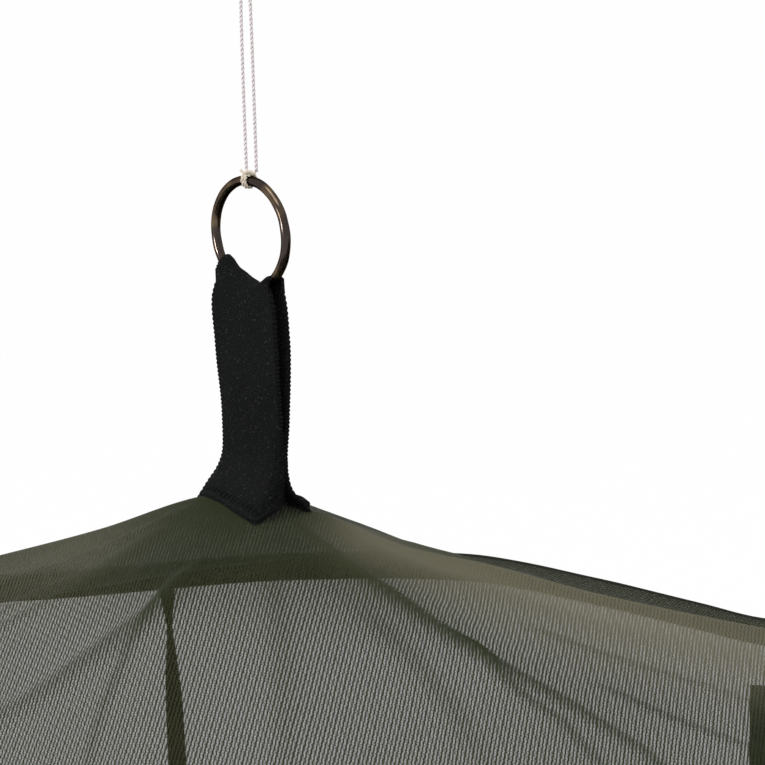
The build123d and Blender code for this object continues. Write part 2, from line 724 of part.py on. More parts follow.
twine_radii = bend_radii(twine_points)
print("twine bends, mm:", [round(r, 1) for r in twine_radii])
with BuildPart() as hang_twine:
    with BuildLine():
        twine_line = FilletPolyline(*twine_points, radius=twine_radii)
    with BuildSketch(Plane(origin=twine_line @ 0, z_dir=twine_line % 0)):
        Circle(twine_diameter / 2)
    sweep()
twine_volume = twine_line.length * pi * (twine_diameter / 2) ** 2
print("twine length", round(twine_line.length, 1))
print("twine volume ratio", round(hang_twine.part.volume / twine_volume, 4))
finish(hang_twine, "hang_twine")

# The knot on the ring: two turns round the wire at the ring's top.
with BuildPart() as twine_ring_knot:
    for lean in (-3.75, 6.65):
        out = fold * sin(radians(lean)) + Vector(0, 0, 1) * cos(radians(lean))
        around = fold * cos(radians(lean)) - Vector(0, 0, 1) * sin(radians(lean))
        wire_at = ring_centre + out * ring_radius
        with BuildSketch(Plane(origin=wire_at + out * wrap_radius, x_dir=out, z_dir=around.cross(out))):
            Circle(twine_diameter / 2)
        revolve(axis=Axis(wire_at, around), revolution_arc=360)
finish(twine_ring_knot, "twine_ring_knot")

# The knot that closes the bight: a small barrel round both strands.
knot_low, knot_high, knot_radius = 71.5, 75.5, 2.2
with BuildPart() as twine_top_knot:
    with BuildSketch(Plane(origin=ring_centre + strands * -1.0 + Vector(0, 0, knot_low), z_dir=(0, 0, 1))):
        Circle(knot_radius)
    extrude(amount=knot_high - knot_low)
    fillet(twine_top_knot.edges().filter_by(GeomType.CIRCLE), 1)
finish(twine_top_knot, "twine_top_knot")

print("gate pin", bar_plane.from_local_coords((pin_at, bow, 0)))
print("ring centre", ring_centre, "axis", front)
for name, plane, length in zips:
    print(name, "travel", round(length - 2 * slider_start, 2), "pull pin",
          plane.from_local_coords((slider_start, 0, 0)), plane.x_dir, plane.y_dir, plane.z_dir)
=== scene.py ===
# %% [markdown]
# # A camping hammock with a mosquito net
# The hammock is one sheet of cloth gathered at both ends. A net roof and net walls are sewn to
# it, and two metal rings on webbing loops hold the roof up. The solid parts come from the packed
# CAD model, which is loaded here as a fixed frame. Cloth, net, webbing and twine are modelled in
# this script around that frame, in metres.

# %% Load the frame
import json
from math import atan2, ceil, cos, exp, hypot, pi, radians, sin, sqrt

import bmesh
import bpy
from mathutils import Matrix, Vector, noise
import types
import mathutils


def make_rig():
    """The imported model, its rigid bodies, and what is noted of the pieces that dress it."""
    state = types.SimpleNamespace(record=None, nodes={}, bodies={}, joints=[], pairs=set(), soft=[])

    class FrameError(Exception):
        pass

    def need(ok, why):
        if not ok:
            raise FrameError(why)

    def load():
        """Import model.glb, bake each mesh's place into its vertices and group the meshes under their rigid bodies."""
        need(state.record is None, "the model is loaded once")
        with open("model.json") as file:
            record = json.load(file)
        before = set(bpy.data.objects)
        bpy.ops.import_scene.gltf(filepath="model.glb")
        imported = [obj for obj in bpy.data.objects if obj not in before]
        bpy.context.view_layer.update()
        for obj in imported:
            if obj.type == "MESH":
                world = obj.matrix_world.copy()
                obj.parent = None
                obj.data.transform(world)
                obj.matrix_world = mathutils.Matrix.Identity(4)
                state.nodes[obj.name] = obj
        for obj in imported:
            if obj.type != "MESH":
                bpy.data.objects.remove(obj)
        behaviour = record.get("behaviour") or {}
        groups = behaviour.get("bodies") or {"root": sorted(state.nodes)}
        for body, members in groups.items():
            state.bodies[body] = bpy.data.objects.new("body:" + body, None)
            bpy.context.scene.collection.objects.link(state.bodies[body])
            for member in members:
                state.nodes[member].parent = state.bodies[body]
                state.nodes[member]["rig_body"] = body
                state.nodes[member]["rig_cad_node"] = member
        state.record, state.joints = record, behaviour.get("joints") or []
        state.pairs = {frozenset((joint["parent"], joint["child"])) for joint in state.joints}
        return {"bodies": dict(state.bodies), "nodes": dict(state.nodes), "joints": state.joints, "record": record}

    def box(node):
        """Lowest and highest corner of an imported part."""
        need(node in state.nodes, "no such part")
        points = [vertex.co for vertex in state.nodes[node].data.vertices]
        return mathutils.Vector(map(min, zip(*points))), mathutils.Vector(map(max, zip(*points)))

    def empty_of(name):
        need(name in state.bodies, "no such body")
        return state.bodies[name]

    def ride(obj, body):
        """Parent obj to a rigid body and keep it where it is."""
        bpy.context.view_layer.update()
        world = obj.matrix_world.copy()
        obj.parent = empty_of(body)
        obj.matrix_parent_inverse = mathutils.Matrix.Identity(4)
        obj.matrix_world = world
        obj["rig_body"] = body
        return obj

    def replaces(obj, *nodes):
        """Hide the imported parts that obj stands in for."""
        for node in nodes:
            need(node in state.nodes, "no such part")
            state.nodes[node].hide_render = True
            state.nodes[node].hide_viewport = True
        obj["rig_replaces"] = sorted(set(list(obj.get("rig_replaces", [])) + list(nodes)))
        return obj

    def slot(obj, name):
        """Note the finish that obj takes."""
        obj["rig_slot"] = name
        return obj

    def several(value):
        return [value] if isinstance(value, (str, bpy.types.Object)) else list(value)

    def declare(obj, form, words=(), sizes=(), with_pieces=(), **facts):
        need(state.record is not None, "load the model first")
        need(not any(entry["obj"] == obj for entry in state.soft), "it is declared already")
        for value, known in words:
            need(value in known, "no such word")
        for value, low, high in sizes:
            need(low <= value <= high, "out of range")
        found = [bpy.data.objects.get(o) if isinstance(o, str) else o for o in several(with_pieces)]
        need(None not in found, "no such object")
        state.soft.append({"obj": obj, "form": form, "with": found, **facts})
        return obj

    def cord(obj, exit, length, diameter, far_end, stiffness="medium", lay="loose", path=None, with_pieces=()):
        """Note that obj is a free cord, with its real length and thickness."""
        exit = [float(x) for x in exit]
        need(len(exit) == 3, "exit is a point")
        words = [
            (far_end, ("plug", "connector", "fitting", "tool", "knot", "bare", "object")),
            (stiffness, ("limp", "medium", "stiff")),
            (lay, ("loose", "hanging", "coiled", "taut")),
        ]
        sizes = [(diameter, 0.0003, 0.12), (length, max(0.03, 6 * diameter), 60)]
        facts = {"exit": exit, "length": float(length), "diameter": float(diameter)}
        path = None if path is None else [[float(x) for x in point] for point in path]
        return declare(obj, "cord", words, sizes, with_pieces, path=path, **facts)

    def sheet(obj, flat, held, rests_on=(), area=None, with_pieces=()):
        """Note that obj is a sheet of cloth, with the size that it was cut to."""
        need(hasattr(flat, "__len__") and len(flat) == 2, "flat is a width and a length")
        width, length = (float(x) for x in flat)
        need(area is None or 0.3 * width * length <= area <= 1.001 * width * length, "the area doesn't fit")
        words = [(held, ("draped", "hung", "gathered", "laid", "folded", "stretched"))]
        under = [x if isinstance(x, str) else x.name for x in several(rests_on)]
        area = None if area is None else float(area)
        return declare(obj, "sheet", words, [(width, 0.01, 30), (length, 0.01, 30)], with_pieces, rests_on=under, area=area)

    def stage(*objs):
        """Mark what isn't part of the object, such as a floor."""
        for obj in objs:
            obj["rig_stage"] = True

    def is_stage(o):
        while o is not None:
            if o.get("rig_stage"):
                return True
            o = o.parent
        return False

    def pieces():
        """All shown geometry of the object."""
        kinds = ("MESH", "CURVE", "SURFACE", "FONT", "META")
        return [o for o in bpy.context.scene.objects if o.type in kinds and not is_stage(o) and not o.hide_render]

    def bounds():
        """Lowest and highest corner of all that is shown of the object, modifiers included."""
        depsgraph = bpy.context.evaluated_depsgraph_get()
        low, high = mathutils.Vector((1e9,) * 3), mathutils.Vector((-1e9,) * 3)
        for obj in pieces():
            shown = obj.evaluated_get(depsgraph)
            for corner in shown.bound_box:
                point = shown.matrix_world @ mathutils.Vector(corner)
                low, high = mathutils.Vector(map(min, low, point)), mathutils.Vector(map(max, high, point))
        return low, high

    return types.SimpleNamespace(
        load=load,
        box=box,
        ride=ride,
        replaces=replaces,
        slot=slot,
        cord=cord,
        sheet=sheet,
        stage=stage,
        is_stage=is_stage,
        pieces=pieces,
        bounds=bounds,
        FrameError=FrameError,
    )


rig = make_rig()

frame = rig.load()
cad_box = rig.bounds()
nodes = frame["nodes"]
joint_places = {j["name"]: Vector(j["pos_m"]) for j in frame["joints"] if j.get("pos_m")}
head_ring_centre = joint_places["head_ring_turn"]
span = joint_places["foot_carabiner_swing"].x
print("nodes", len(nodes), "span", round(span, 3), "ring at", head_ring_centre)

# %% [markdown]
# ## Camera
# A long lens stands about a metre from the head ring and looks slightly down on it. The aim is
# set beside the ring, so that the ring sits left of the middle and above it and the net below it
# fills the frame. An aim costs nothing, while a lens shift would stay on in every other view.

# %% Camera
view_turn, view_down, view_reach = radians(8.0), radians(12.3), 1.08
lens, sensor = 200.0, 36.0
ahead = Vector((-sin(view_turn) * cos(view_down), cos(view_turn) * cos(view_down), -sin(view_down)))
to_right = Vector((cos(view_turn), sin(view_turn), 0))
to_top = to_right.cross(ahead)
ring_left, ring_high = 0.1725, 0.194        # from the frame's middle, as shares of its width
line_to_ring = ahead + (to_top * ring_high - to_right * ring_left) * (sensor / lens)

camera = bpy.data.objects.new("camera", bpy.data.cameras.new("camera"))
bpy.context.collection.objects.link(camera)
camera.data.lens, camera.data.sensor_width = lens, sensor
camera.data.clip_start, camera.data.clip_end = 0.05, 200
camera.location = head_ring_centre - line_to_ring.normalized() * view_reach
camera.rotation_mode = "QUATERNION"
camera.rotation_quaternion = Matrix((to_right, to_top, -ahead)).transposed().to_quaternion()
bpy.context.scene.camera = camera
print("camera at", camera.location)

# %% [markdown]
# ## Floor and light
# The floor and the sky are pale and plain. Most light comes evenly from the sky, so the net is
# seen against white. A wide sun overhead shapes the cloth, and a small lamp at the front left
# adds the streaks that show on the ring and the metal.

# %% Floor and light
floor_z = cad_box[0].z - 0.35
floor_mesh = bmesh.new()
bmesh.ops.create_grid(floor_mesh, x_segments=1, y_segments=1, size=90)
bmesh.ops.translate(floor_mesh, verts=floor_mesh.verts, vec=(span / 2, 0, floor_z))
floor_data = bpy.data.meshes.new("floor")
floor_mesh.to_mesh(floor_data)
floor_mesh.free()
floor = bpy.data.objects.new("floor", floor_data)
bpy.context.collection.objects.link(floor)
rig.stage(floor)

world = bpy.data.worlds.new("studio")
world.use_nodes = True
world.node_tree.nodes["Background"].inputs["Color"].default_value = (1.0, 1.0, 1.0, 1)
world.node_tree.nodes["Background"].inputs["Strength"].default_value = 0.85
bpy.context.scene.world = world
bpy.context.scene.view_settings.view_transform = "Standard"


def add_lamp(name, kind, strength, at, towards, size=1.0):
    """A lamp at one point that shines towards another."""
    lamp = bpy.data.objects.new(name, bpy.data.lights.new(name, kind))
    lamp.data.energy = strength
    if kind == "AREA":
        lamp.data.shape, lamp.data.size = "DISK", size
    else:
        lamp.data.angle = size
    lamp.location = at
    lamp.rotation_mode = "QUATERNION"
    lamp.rotation_quaternion = (Vector(towards) - Vector(at)).to_track_quat("-Z", "Y")
    bpy.context.collection.objects.link(lamp)
    return lamp


add_lamp("overhead", "SUN", 1.3, (1.2, -1.5, 4.0), (1.3, 0, 0), size=radians(40))
add_lamp("front_left", "AREA", 30, (-1.6, -1.6, 0.58), head_ring_centre, size=0.24)
print("floor at", round(floor_z, 3))

# %% [markdown]
# ## A way to write materials
# Every look below is a node material. A small class wraps a socket, so that sums and products
# of sockets read as ordinary sums, and one method adds any other node.

# %% Material maths
class Value:
    """A socket inside one material. Arithmetic on it adds Math nodes."""

    def __init__(self, look, socket):
        self.look, self.socket = look, socket

    def math(self, operation, *others):
        inputs = dict(enumerate((self, *others)))
        return self.look.add("ShaderNodeMath", {"operation": operation}, inputs)

    def __add__(self, other):
        return self.math("ADD", other)

    def __mul__(self, other):
        return self.math("MULTIPLY", other)

    def __sub__(self, other):
        return self.math("SUBTRACT", other)

    def __truediv__(self, other):
        return self.math("DIVIDE", other)

    def __rsub__(self, other):
        return self.look.add("ShaderNodeMath", {"operation": "SUBTRACT"}, {0: other, 1: self})

    __radd__, __rmul__ = __add__, __mul__

    def above(self, low, high):
        """0 under low, 1 over high, and a smooth step between."""
        return self.look.add("ShaderNodeMapRange", {"interpolation_type": "SMOOTHSTEP"},
                             {"Value": self, "From Min": low, "From Max": high})

    def between_colours(self, first, second):
        """The first colour where this is 0 and the second where it is 1."""
        return self.look.add("ShaderNodeMix", {"data_type": "RGBA"}, {0: self, 6: first, 7: second}, 2)


class Look:
    """One material, with its Principled shader and its output."""

    def __init__(self, name):
        self.material = bpy.data.materials.new(name)
        self.material.use_nodes = True
        self.tree = self.material.node_tree
        self.tree.nodes.clear()
        self.shader = self.tree.nodes.new("ShaderNodeBsdfPrincipled")
        output = self.tree.nodes.new("ShaderNodeOutputMaterial")
        self.tree.links.new(self.shader.outputs[0], output.inputs["Surface"])

    def feed(self, node, inputs):
        for key, value in inputs.items():
            if isinstance(value, Value):
                self.tree.links.new(value.socket, node.inputs[key])
            else:
                if isinstance(value, tuple) and len(value) == 3 and node.inputs[key].type == "RGBA":
                    value = (*value, 1)
                node.inputs[key].default_value = value

    def add(self, kind, settings=None, inputs=None, output=0):
        """Any node: its settings first, then the values or links of its sockets."""
        node = self.tree.nodes.new(kind)
        for key, value in (settings or {}).items():
            if key == "stops":
                for element, (place, colour) in zip(node.color_ramp.elements, value):
                    element.position, element.color = place, (*colour, 1)
            else:
                setattr(node, key, value)
        self.feed(node, inputs or {})
        return Value(self, node.outputs[output])

    def surface(self, **inputs):
        """Sets or links sockets of the Principled shader: Base_Color is its Base Color."""
        self.feed(self.shader, {key.replace("_", " "): value for key, value in inputs.items()})

    def place(self):
        """Object coordinates, in metres."""
        return self.add("ShaderNodeTexCoord", output="Object")

    def cloth_uv(self):
        """Places on the flat cloth, in metres: along it and across it."""
        uv = self.add("ShaderNodeUVMap", {"uv_map": "cloth"})
        return [self.add("ShaderNodeSeparateXYZ", None, {0: uv}, axis) for axis in (0, 1)]

    def speckle(self, scale, detail=2.0, where=None):
        return self.add("ShaderNodeTexNoise", None,
                        {"Vector": where or self.place(), "Scale": scale, "Detail": detail})

    def bump(self, height, strength, distance):
        self.surface(Normal=self.add("ShaderNodeBump", None,
                                     {"Height": height, "Strength": strength, "Distance": distance}))


# %% [markdown]
# ## A way to make pieces
# Each finished piece is one mesh object at the origin, which rides on a CAD body by name and
# stands for the CAD nodes that it covers.

# %% Piece helpers
def make_piece(name, bm, look, body="root", slot=None, covers=(), smooth=True):
    """Turns a bmesh into a piece of the object."""
    data = bpy.data.meshes.new(name)
    bm.to_mesh(data)
    bm.free()
    for polygon in data.polygons:
        polygon.use_smooth = smooth
    data.materials.append(look.material)
    piece = bpy.data.objects.new(name, data)
    bpy.context.collection.objects.link(piece)
    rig.ride(piece, body)
    if slot:
        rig.slot(piece, slot)
    if covers:
        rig.replaces(piece, *covers)
    return piece


def cloth_grid(us, vs, place, flat=None, openness=None, painted_lighting=None):
    """A grid of cloth with a column at each u and a row at each v. place gives a point for (u, v),
    flat gives its place on the uncut cloth, openness how far the threads stand apart, and the last
    function the painted light: how much paler the threads are painted where light falls on them."""
    bm = bmesh.new()
    bmesh.ops.create_grid(bm, x_segments=len(us) - 1, y_segments=len(vs) - 1, size=1)
    uv = bm.loops.layers.uv.new("cloth")
    layer = bm.verts.layers.float.new("open")
    painted_lit_layer = bm.verts.layers.float.new("faded")
    where = {}
    for vert in bm.verts:
        u = us[round((vert.co.x + 1) / 2 * (len(us) - 1))]
        v = vs[round((vert.co.y + 1) / 2 * (len(vs) - 1))]
        where[vert] = (u, v)
    for vert, (u, v) in where.items():
        vert.co = place(u, v)
        vert[layer] = openness(u, v) if openness else 1.0
        vert[painted_lit_layer] = painted_lighting(u, v) if painted_lighting else 0.0
    for face in bm.faces:
        for loop in face.loops:
            u, v = where[loop.vert]
            loop[uv].uv = flat(u, v) if flat else (u, v)
    return bm


def wrapped_grid(us, count, place, flat):
    """A closed skin: at each u, count places go round a section and meet again. Both ends are filled."""
    bm = cloth_grid(us, list(range(count + 1)), lambda u, k: place(u, k % count), flat)
    bmesh.ops.remove_doubles(bm, verts=bm.verts, dist=1e-7)
    bmesh.ops.holes_fill(bm, edges=bm.edges, sides=0)
    bmesh.ops.recalc_face_normals(bm, faces=bm.faces)
    return bm


def joined(parts):
    """Several bmeshes as one."""
    whole = bmesh.new()
    for part in parts:
        data = bpy.data.meshes.new("part")
        part.to_mesh(data)
        part.free()
        whole.from_mesh(data)
        bpy.data.meshes.remove(data)
    return whole


def thicken(piece, thickness, offset=0):
    modifier = piece.modifiers.new("thickness", "SOLIDIFY")
    modifier.thickness, modifier.offset = thickness, offset


def mirrored_copy(piece, name, look, body="root", slot=None, covers=()):
    """The same piece at the foot end of the hammock, mirrored in the middle plane."""
    bm = bmesh.new()
    bm.from_mesh(piece.data)
    for vert in bm.verts:
        vert.co.x = span - vert.co.x
    bmesh.ops.reverse_faces(bm, faces=bm.faces)
    made = make_piece(name, bm, look, body, slot, covers)
    for modifier in piece.modifiers:
        thicken(made, modifier.thickness, modifier.offset)
    return made


def paint(look, *names):
    """Gives CAD nodes a finish."""
    for name in names:
        nodes[name].data.materials.clear()
        nodes[name].data.materials.append(look.material)


def steps(start, end, step):
    """Evenly spaced places from start to end, about a step apart."""
    count = max(1, ceil(abs(end - start) / step))
    return [start + (end - start) * i / count for i in range(count + 1)]


def smooth_line(places):
    """A function through (x, value) places: a cubic whose slope at each place follows its
    neighbours, so that it has no corners."""
    xs, values = [p[0] for p in places], [p[1] for p in places]
    count = len(xs)
    slopes = []
    for i in range(count):
        a, b = max(i - 1, 0), min(i + 1, count - 1)
        slopes.append((values[b] - values[a]) / (xs[b] - xs[a]))

    def at(x):
        x = min(max(x, xs[0]), xs[-1])
        i = max(k for k in range(count - 1) if xs[k] <= x)
        step = xs[i + 1] - xs[i]
        t = (x - xs[i]) / step
        return ((2 * t**3 - 3 * t**2 + 1) * values[i] + (t**3 - 2 * t**2 + t) * step * slopes[i]
                + (3 * t**2 - 2 * t**3) * values[i + 1] + (t**3 - t**2) * step * slopes[i + 1])
    return at


# %% [markdown]
# ## Hanging twine
# One thin white twine is doubled: up one strand from its knot on the ring, round the bight that
# goes over a hook, and down the other strand. It is under load, so both strands are straight.
# Its line is a smooth spline through the route of the CAD tube. Two thin yarns twisted round
# that line make the twine, because a plain tube would look like wire.

# %% Twine route
strand_line = Vector((cos(radians(8)), sin(radians(8)), 0))
twine_route = [(-0.9, 16.05), (-2.4, 61.0), (-1.5, 71.0), (-1.9, 76.0), (-6.6, 82.5), (-5.4, 89.6),
               (-1.0, 92.6), (3.4, 89.1), (4.3, 82.0), (-0.2, 75.5), (-0.5, 70.5), (0.4, 61.0),
               (1.6, 16.05)]


def read_line(name, points, per_span=12):
    """The points of a smooth NURBS line through a route, close together."""
    data = bpy.data.curves.new(name, "CURVE")
    data.dimensions = "3D"
    spline = data.splines.new("NURBS")
    spline.points.add(len(points) - 1)
    for control, point in zip(spline.points, points):
        control.co = (*point, 1)
    spline.order_u = 3
    spline.use_endpoint_u = True
    spline.resolution_u = per_span
    holder = bpy.data.objects.new(name, data)
    bpy.context.collection.objects.link(holder)
    sampled = bpy.data.meshes.new_from_object(holder)
    line = [vert.co.copy() for vert in sampled.vertices]
    bpy.data.meshes.remove(sampled)
    bpy.data.objects.remove(holder)
    return line


def even_line(line, step):
    """The same line with its points a step apart."""
    lengths = [0.0]
    for a, b in zip(line, line[1:]):
        lengths.append(lengths[-1] + (b - a).length)
    count = max(2, round(lengths[-1] / step))
    made, i = [], 0
    for k in range(count + 1):
        want = lengths[-1] * k / count
        while i < len(line) - 2 and lengths[i + 1] < want:
            i += 1
        share = (want - lengths[i]) / max(lengths[i + 1] - lengths[i], 1e-9)
        made.append(line[i].lerp(line[i + 1], min(max(share, 0), 1)))
    return made, lengths[-1]


def tube_along(bm, line, radius, sides=8, uv=None, closed=False):
    """A tube of faces along a line, added to a bmesh: one ring of points, extruded step by step."""
    rings, side_way = [], None
    for i, point in enumerate(line):
        along = (line[min(i + 1, len(line) - 1)] - line[max(i - 1, 0)]).normalized()
        if side_way is None:
            side_way = along.orthogonal()
        side_way = (side_way - along * side_way.dot(along)).normalized()
        other_way = along.cross(side_way)
        r = radius(i / (len(line) - 1)) if callable(radius) else radius
        rings.append([bm.verts.new(point + (side_way * cos(2 * pi * k / sides)
                                            + other_way * sin(2 * pi * k / sides)) * r)
                      for k in range(sides)])
    for i, (ring, following) in enumerate(zip(rings, rings[1:])):
        for k in range(sides):
            after = (k + 1) % sides
            face = bm.faces.new((ring[k], ring[after], following[after], following[k]))
            if uv:
                for loop, (a, b) in zip(face.loops, ((i, k), (i, k + 1), (i + 1, k + 1), (i + 1, k))):
                    loop[uv].uv = (a, b)
    bm.faces.new(list(reversed(rings[0])))
    bm.faces.new(rings[-1])


def twist_round(line, radius, pitch, phase):
    """A yarn that winds round a line."""
    side_way, made, travelled = None, [], 0.0
    for i, point in enumerate(line):
        along = (line[min(i + 1, len(line) - 1)] - line[max(i - 1, 0)]).normalized()
        side_way = along.orthogonal() if side_way is None else side_way
        side_way = (side_way - along * side_way.dot(along)).normalized()
        other_way = along.cross(side_way)
        if i:
            travelled += (point - line[i - 1]).length
        angle = 2 * pi * travelled / pitch + phase
        made.append(point + (side_way * cos(angle) + other_way * sin(angle)) * radius)
    return made


# %% Twine
twine_look = Look("white_twine")
fibres = twine_look.speckle(5200, 3)
twine_look.surface(Base_Color=fibres.between_colours((0.56, 0.50, 0.51), (0.76, 0.69, 0.70)), Roughness=0.75)
twine_look.shader.inputs["Sheen Weight"].default_value = 0.3
twine_look.bump(fibres, 0.5, 0.0001)

twine_diameter = 0.001
route_points = [head_ring_centre + strand_line * across * 0.001 + Vector((0, 0, up * 0.001))
                for across, up in twine_route]
twine_line, twine_length = even_line(read_line("twine_line", route_points, 40), 0.00022)
twine_mesh = bmesh.new()
for ply in range(2):
    yarn = twist_round(twine_line, 0.00021, 0.0024, ply * pi)
    tube_along(twine_mesh, yarn, 0.00026, 6)
bmesh.ops.recalc_face_normals(twine_mesh, faces=twine_mesh.faces)
twine = make_piece("hanging_twine", twine_mesh, twine_look, "head_ring", "twine", ["hang_twine"])
print("twine length", round(twine_length, 4), "m")

# %% Knots on the twine
ring_axis = Vector((-sin(radians(40)), -cos(radians(40)), 0))     # the ring's own axis
ring_side = Vector((cos(radians(40)), -sin(radians(40)), 0))      # along the ring, level
ring_radius, wire_radius = 0.01375, 0.00125


def on_ring(angle, away=0.0, out=0.0):
    """A point near the ring's wire: angle round from its top, away from the ring's middle line
    towards the outside, and out along its axis."""
    spoke = ring_side * sin(angle) + Vector((0, 0, cos(angle)))
    return head_ring_centre + spoke * (ring_radius + away) + ring_axis * out


def wrap_turn(start, end, turns, reach, count=26):
    """A winding round the wire between two angles of the ring."""
    made = []
    for i in range(round(count * turns) + 1):
        t = i / round(count * turns)
        turn = 2 * pi * turns * t
        made.append(on_ring(start + (end - start) * t, reach * cos(turn), reach * sin(turn)))
    return made


knot_look = Look("cream_twine")
knot_fibres = knot_look.speckle(4200, 3)
knot_look.surface(Base_Color=knot_fibres.between_colours((0.42, 0.36, 0.27), (0.74, 0.67, 0.56)),
                  Roughness=0.75)
knot_look.bump(knot_fibres, 0.5, 0.0001)

knot_mesh = bmesh.new()
knot_lines = [
    (wrap_turn(radians(-5), radians(-1.5), 1.15, 0.00172), 0.00024),
    (wrap_turn(radians(-1), radians(1.5), 1.1, 0.00168), 0.00020),
    (read_line("knot_line", [on_ring(radians(-3), 0.0018, 0.0011), on_ring(radians(-6), 0.0024, 0.0012),
                             on_ring(radians(-9), 0.0027, 0.0010)], 16), 0.00018),
    (read_line("knot_line", [on_ring(radians(-3), 0.0019, 0.0012), on_ring(radians(0), 0.0025, 0.0012),
                             on_ring(radians(5), 0.0027, 0.0006), on_ring(radians(8), 0.0021, 0.0002)],
               16), 0.00020)]
for turns, thickness in knot_lines:
    line, _ = even_line(turns, 0.0002)
    for ply in range(2):
        tube_along(knot_mesh, twist_round(line, thickness, 0.0021, ply * pi), thickness * 1.25, 6)
bmesh.ops.recalc_face_normals(knot_mesh, faces=knot_mesh.faces)
ring_knot = make_piece("twine_knot_on_ring", knot_mesh, knot_look, "head_ring", "twine", ["twine_ring_knot"])

top_mesh = bmesh.new()
top_middle = head_ring_centre + strand_line * -0.001
barrel_turns, barrel_places = 4.2, 110
barrel = []
for i in range(barrel_places):
    t = i / (barrel_places - 1)
    turn = 2 * pi * barrel_turns * t
    barrel.append(top_middle + strand_line * (0.0016 * cos(turn))
                  + Vector((-strand_line.y, strand_line.x, 0)) * (0.0013 * sin(turn))
                  + Vector((0, 0, 0.0717 + 0.0036 * t)))
line, _ = even_line(barrel, 0.0002)
for ply in range(2):
    tube_along(top_mesh, twist_round(line, 0.00022, 0.0021, ply * pi), 0.00026, 6)
bmesh.ops.recalc_face_normals(top_mesh, faces=top_mesh.faces)
top_knot = make_piece("twine_top_knot_turns", top_mesh, twine_look, "head_ring", "twine", ["twine_top_knot"])
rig.cord(twine, exit=route_points[0], length=0.157, diameter=twine_diameter, far_end="object",
        stiffness="limp", lay="taut", path=twine_line[::6] + [twine_line[-1]], with_pieces=[ring_knot, top_knot])

# %% [markdown]
# ## The net
# The net is a fine warp knit: columns of stitches about 0.9 mm apart, every second one heavier,
# joined by fine slanting threads. Modelling each thread would take millions of faces, so the
# cloth is a single sheet and the knit is a pattern of holes in its material. The pattern reads
# the cloth's own UV map, in metres, so it bends with every fold. Where the cloth is bunched
# the threads close up, which the sheet's own "open" attribute tells the material.

# %% Net material
def net_look(name, thread, painted_lit_colour, haze, solid):
    """haze is how much the fine threads cover in the holes, and solid how much the columns do. The colour after the
    thread's is painted light: the pale colour of lit threads and of the painted glints.
    """
    look = Look(name)
    along, across = look.cloth_uv()
    opened = look.add("ShaderNodeAttribute", {"attribute_name": "open"}, output="Fac")
    faded = look.add("ShaderNodeAttribute", {"attribute_name": "faded"}, output="Fac")
    drift = look.speckle(35, 1) - 0.5
    column = along / 0.00092 + drift * 0.5
    course = across / 0.0021
    wave = (course * (2 * pi)).math("SINE")
    cell = (column + wave * 0.10).math("FRACT")
    from_thread = ((cell - 0.5).math("ABSOLUTE")) * 2
    heavy = (column * 0.5).math("FRACT").math("GREATER_THAN", 0.5)
    width = 0.76 - opened * 0.38 + heavy * 0.10
    thread_mask = 1 - (from_thread - width).above(-0.12, 0.12)
    slant = (course * 2 + cell * 1.3).math("FRACT")
    slant_width = 0.44 - opened * 0.22
    slant_mask = 1 - (((slant - 0.5).math("ABSOLUTE")) * 2 - slant_width).above(-0.2, 0.2)
    fine = (0.92 - opened * 0.9).math("MAXIMUM", haze)
    cover = (thread_mask * solid).math("MAXIMUM", slant_mask * 0.62).math("MAXIMUM", fine)
    look.surface(Alpha=cover)
    glint = look.speckle(1400, 1).above(0.70, 0.84)
    tone = look.speckle(60, 2)
    shade = tone.between_colours(thread, tuple(c * 1.45 for c in thread))
    # Painted light: threads are painted pale where the sheet's lit attribute says light from above falls on them, and
    # their columns show less there.
    shade = faded.between_colours(shade, painted_lit_colour)
    lines = (thread_mask * (0.55 - 0.2 * wave)).between_colours(tuple(c * 1.5 for c in thread), thread)
    shade = (thread_mask * 0.5 * (1 - faded)).between_colours(shade, lines)
    # Painted highlight: small random glints on the threads, painted in a paler copy of the lit colour.
    shade = (glint * 0.20).between_colours(shade, tuple(c * 1.4 for c in painted_lit_colour))
    look.surface(Base_Color=shade, Roughness=0.85)
    look.shader.inputs["Sheen Weight"].default_value = 0.03
    look.shader.inputs["Specular IOR Level"].default_value = 0.08
    return look


net = net_look("olive_net", (0.0130, 0.0168, 0.0056), (0.150, 0.138, 0.094), 0.10, 0.97)
wall_net = net_look("olive_wall_net", (0.080, 0.062, 0.037), (0.16, 0.145, 0.11), 0.65, 0.78)

# %% [markdown]
# ## Roof
# The roof is one piece of net, held up at two points on its middle line and pulled out at both
# edges. It hangs between them like a tent: steep at the hanging points and slack between. Folds
# run out from each hanging point. A grid is laid out finely near the head point, where the
# folds are narrow, and coarsely elsewhere, and each of its points is given a height.

# %% Roof lines
peak_x = head_ring_centre.x
roof_low, roof_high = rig.box("roof_net")
peak_z = roof_high.z
rod_x = roof_low.x
middle_x = span / 2

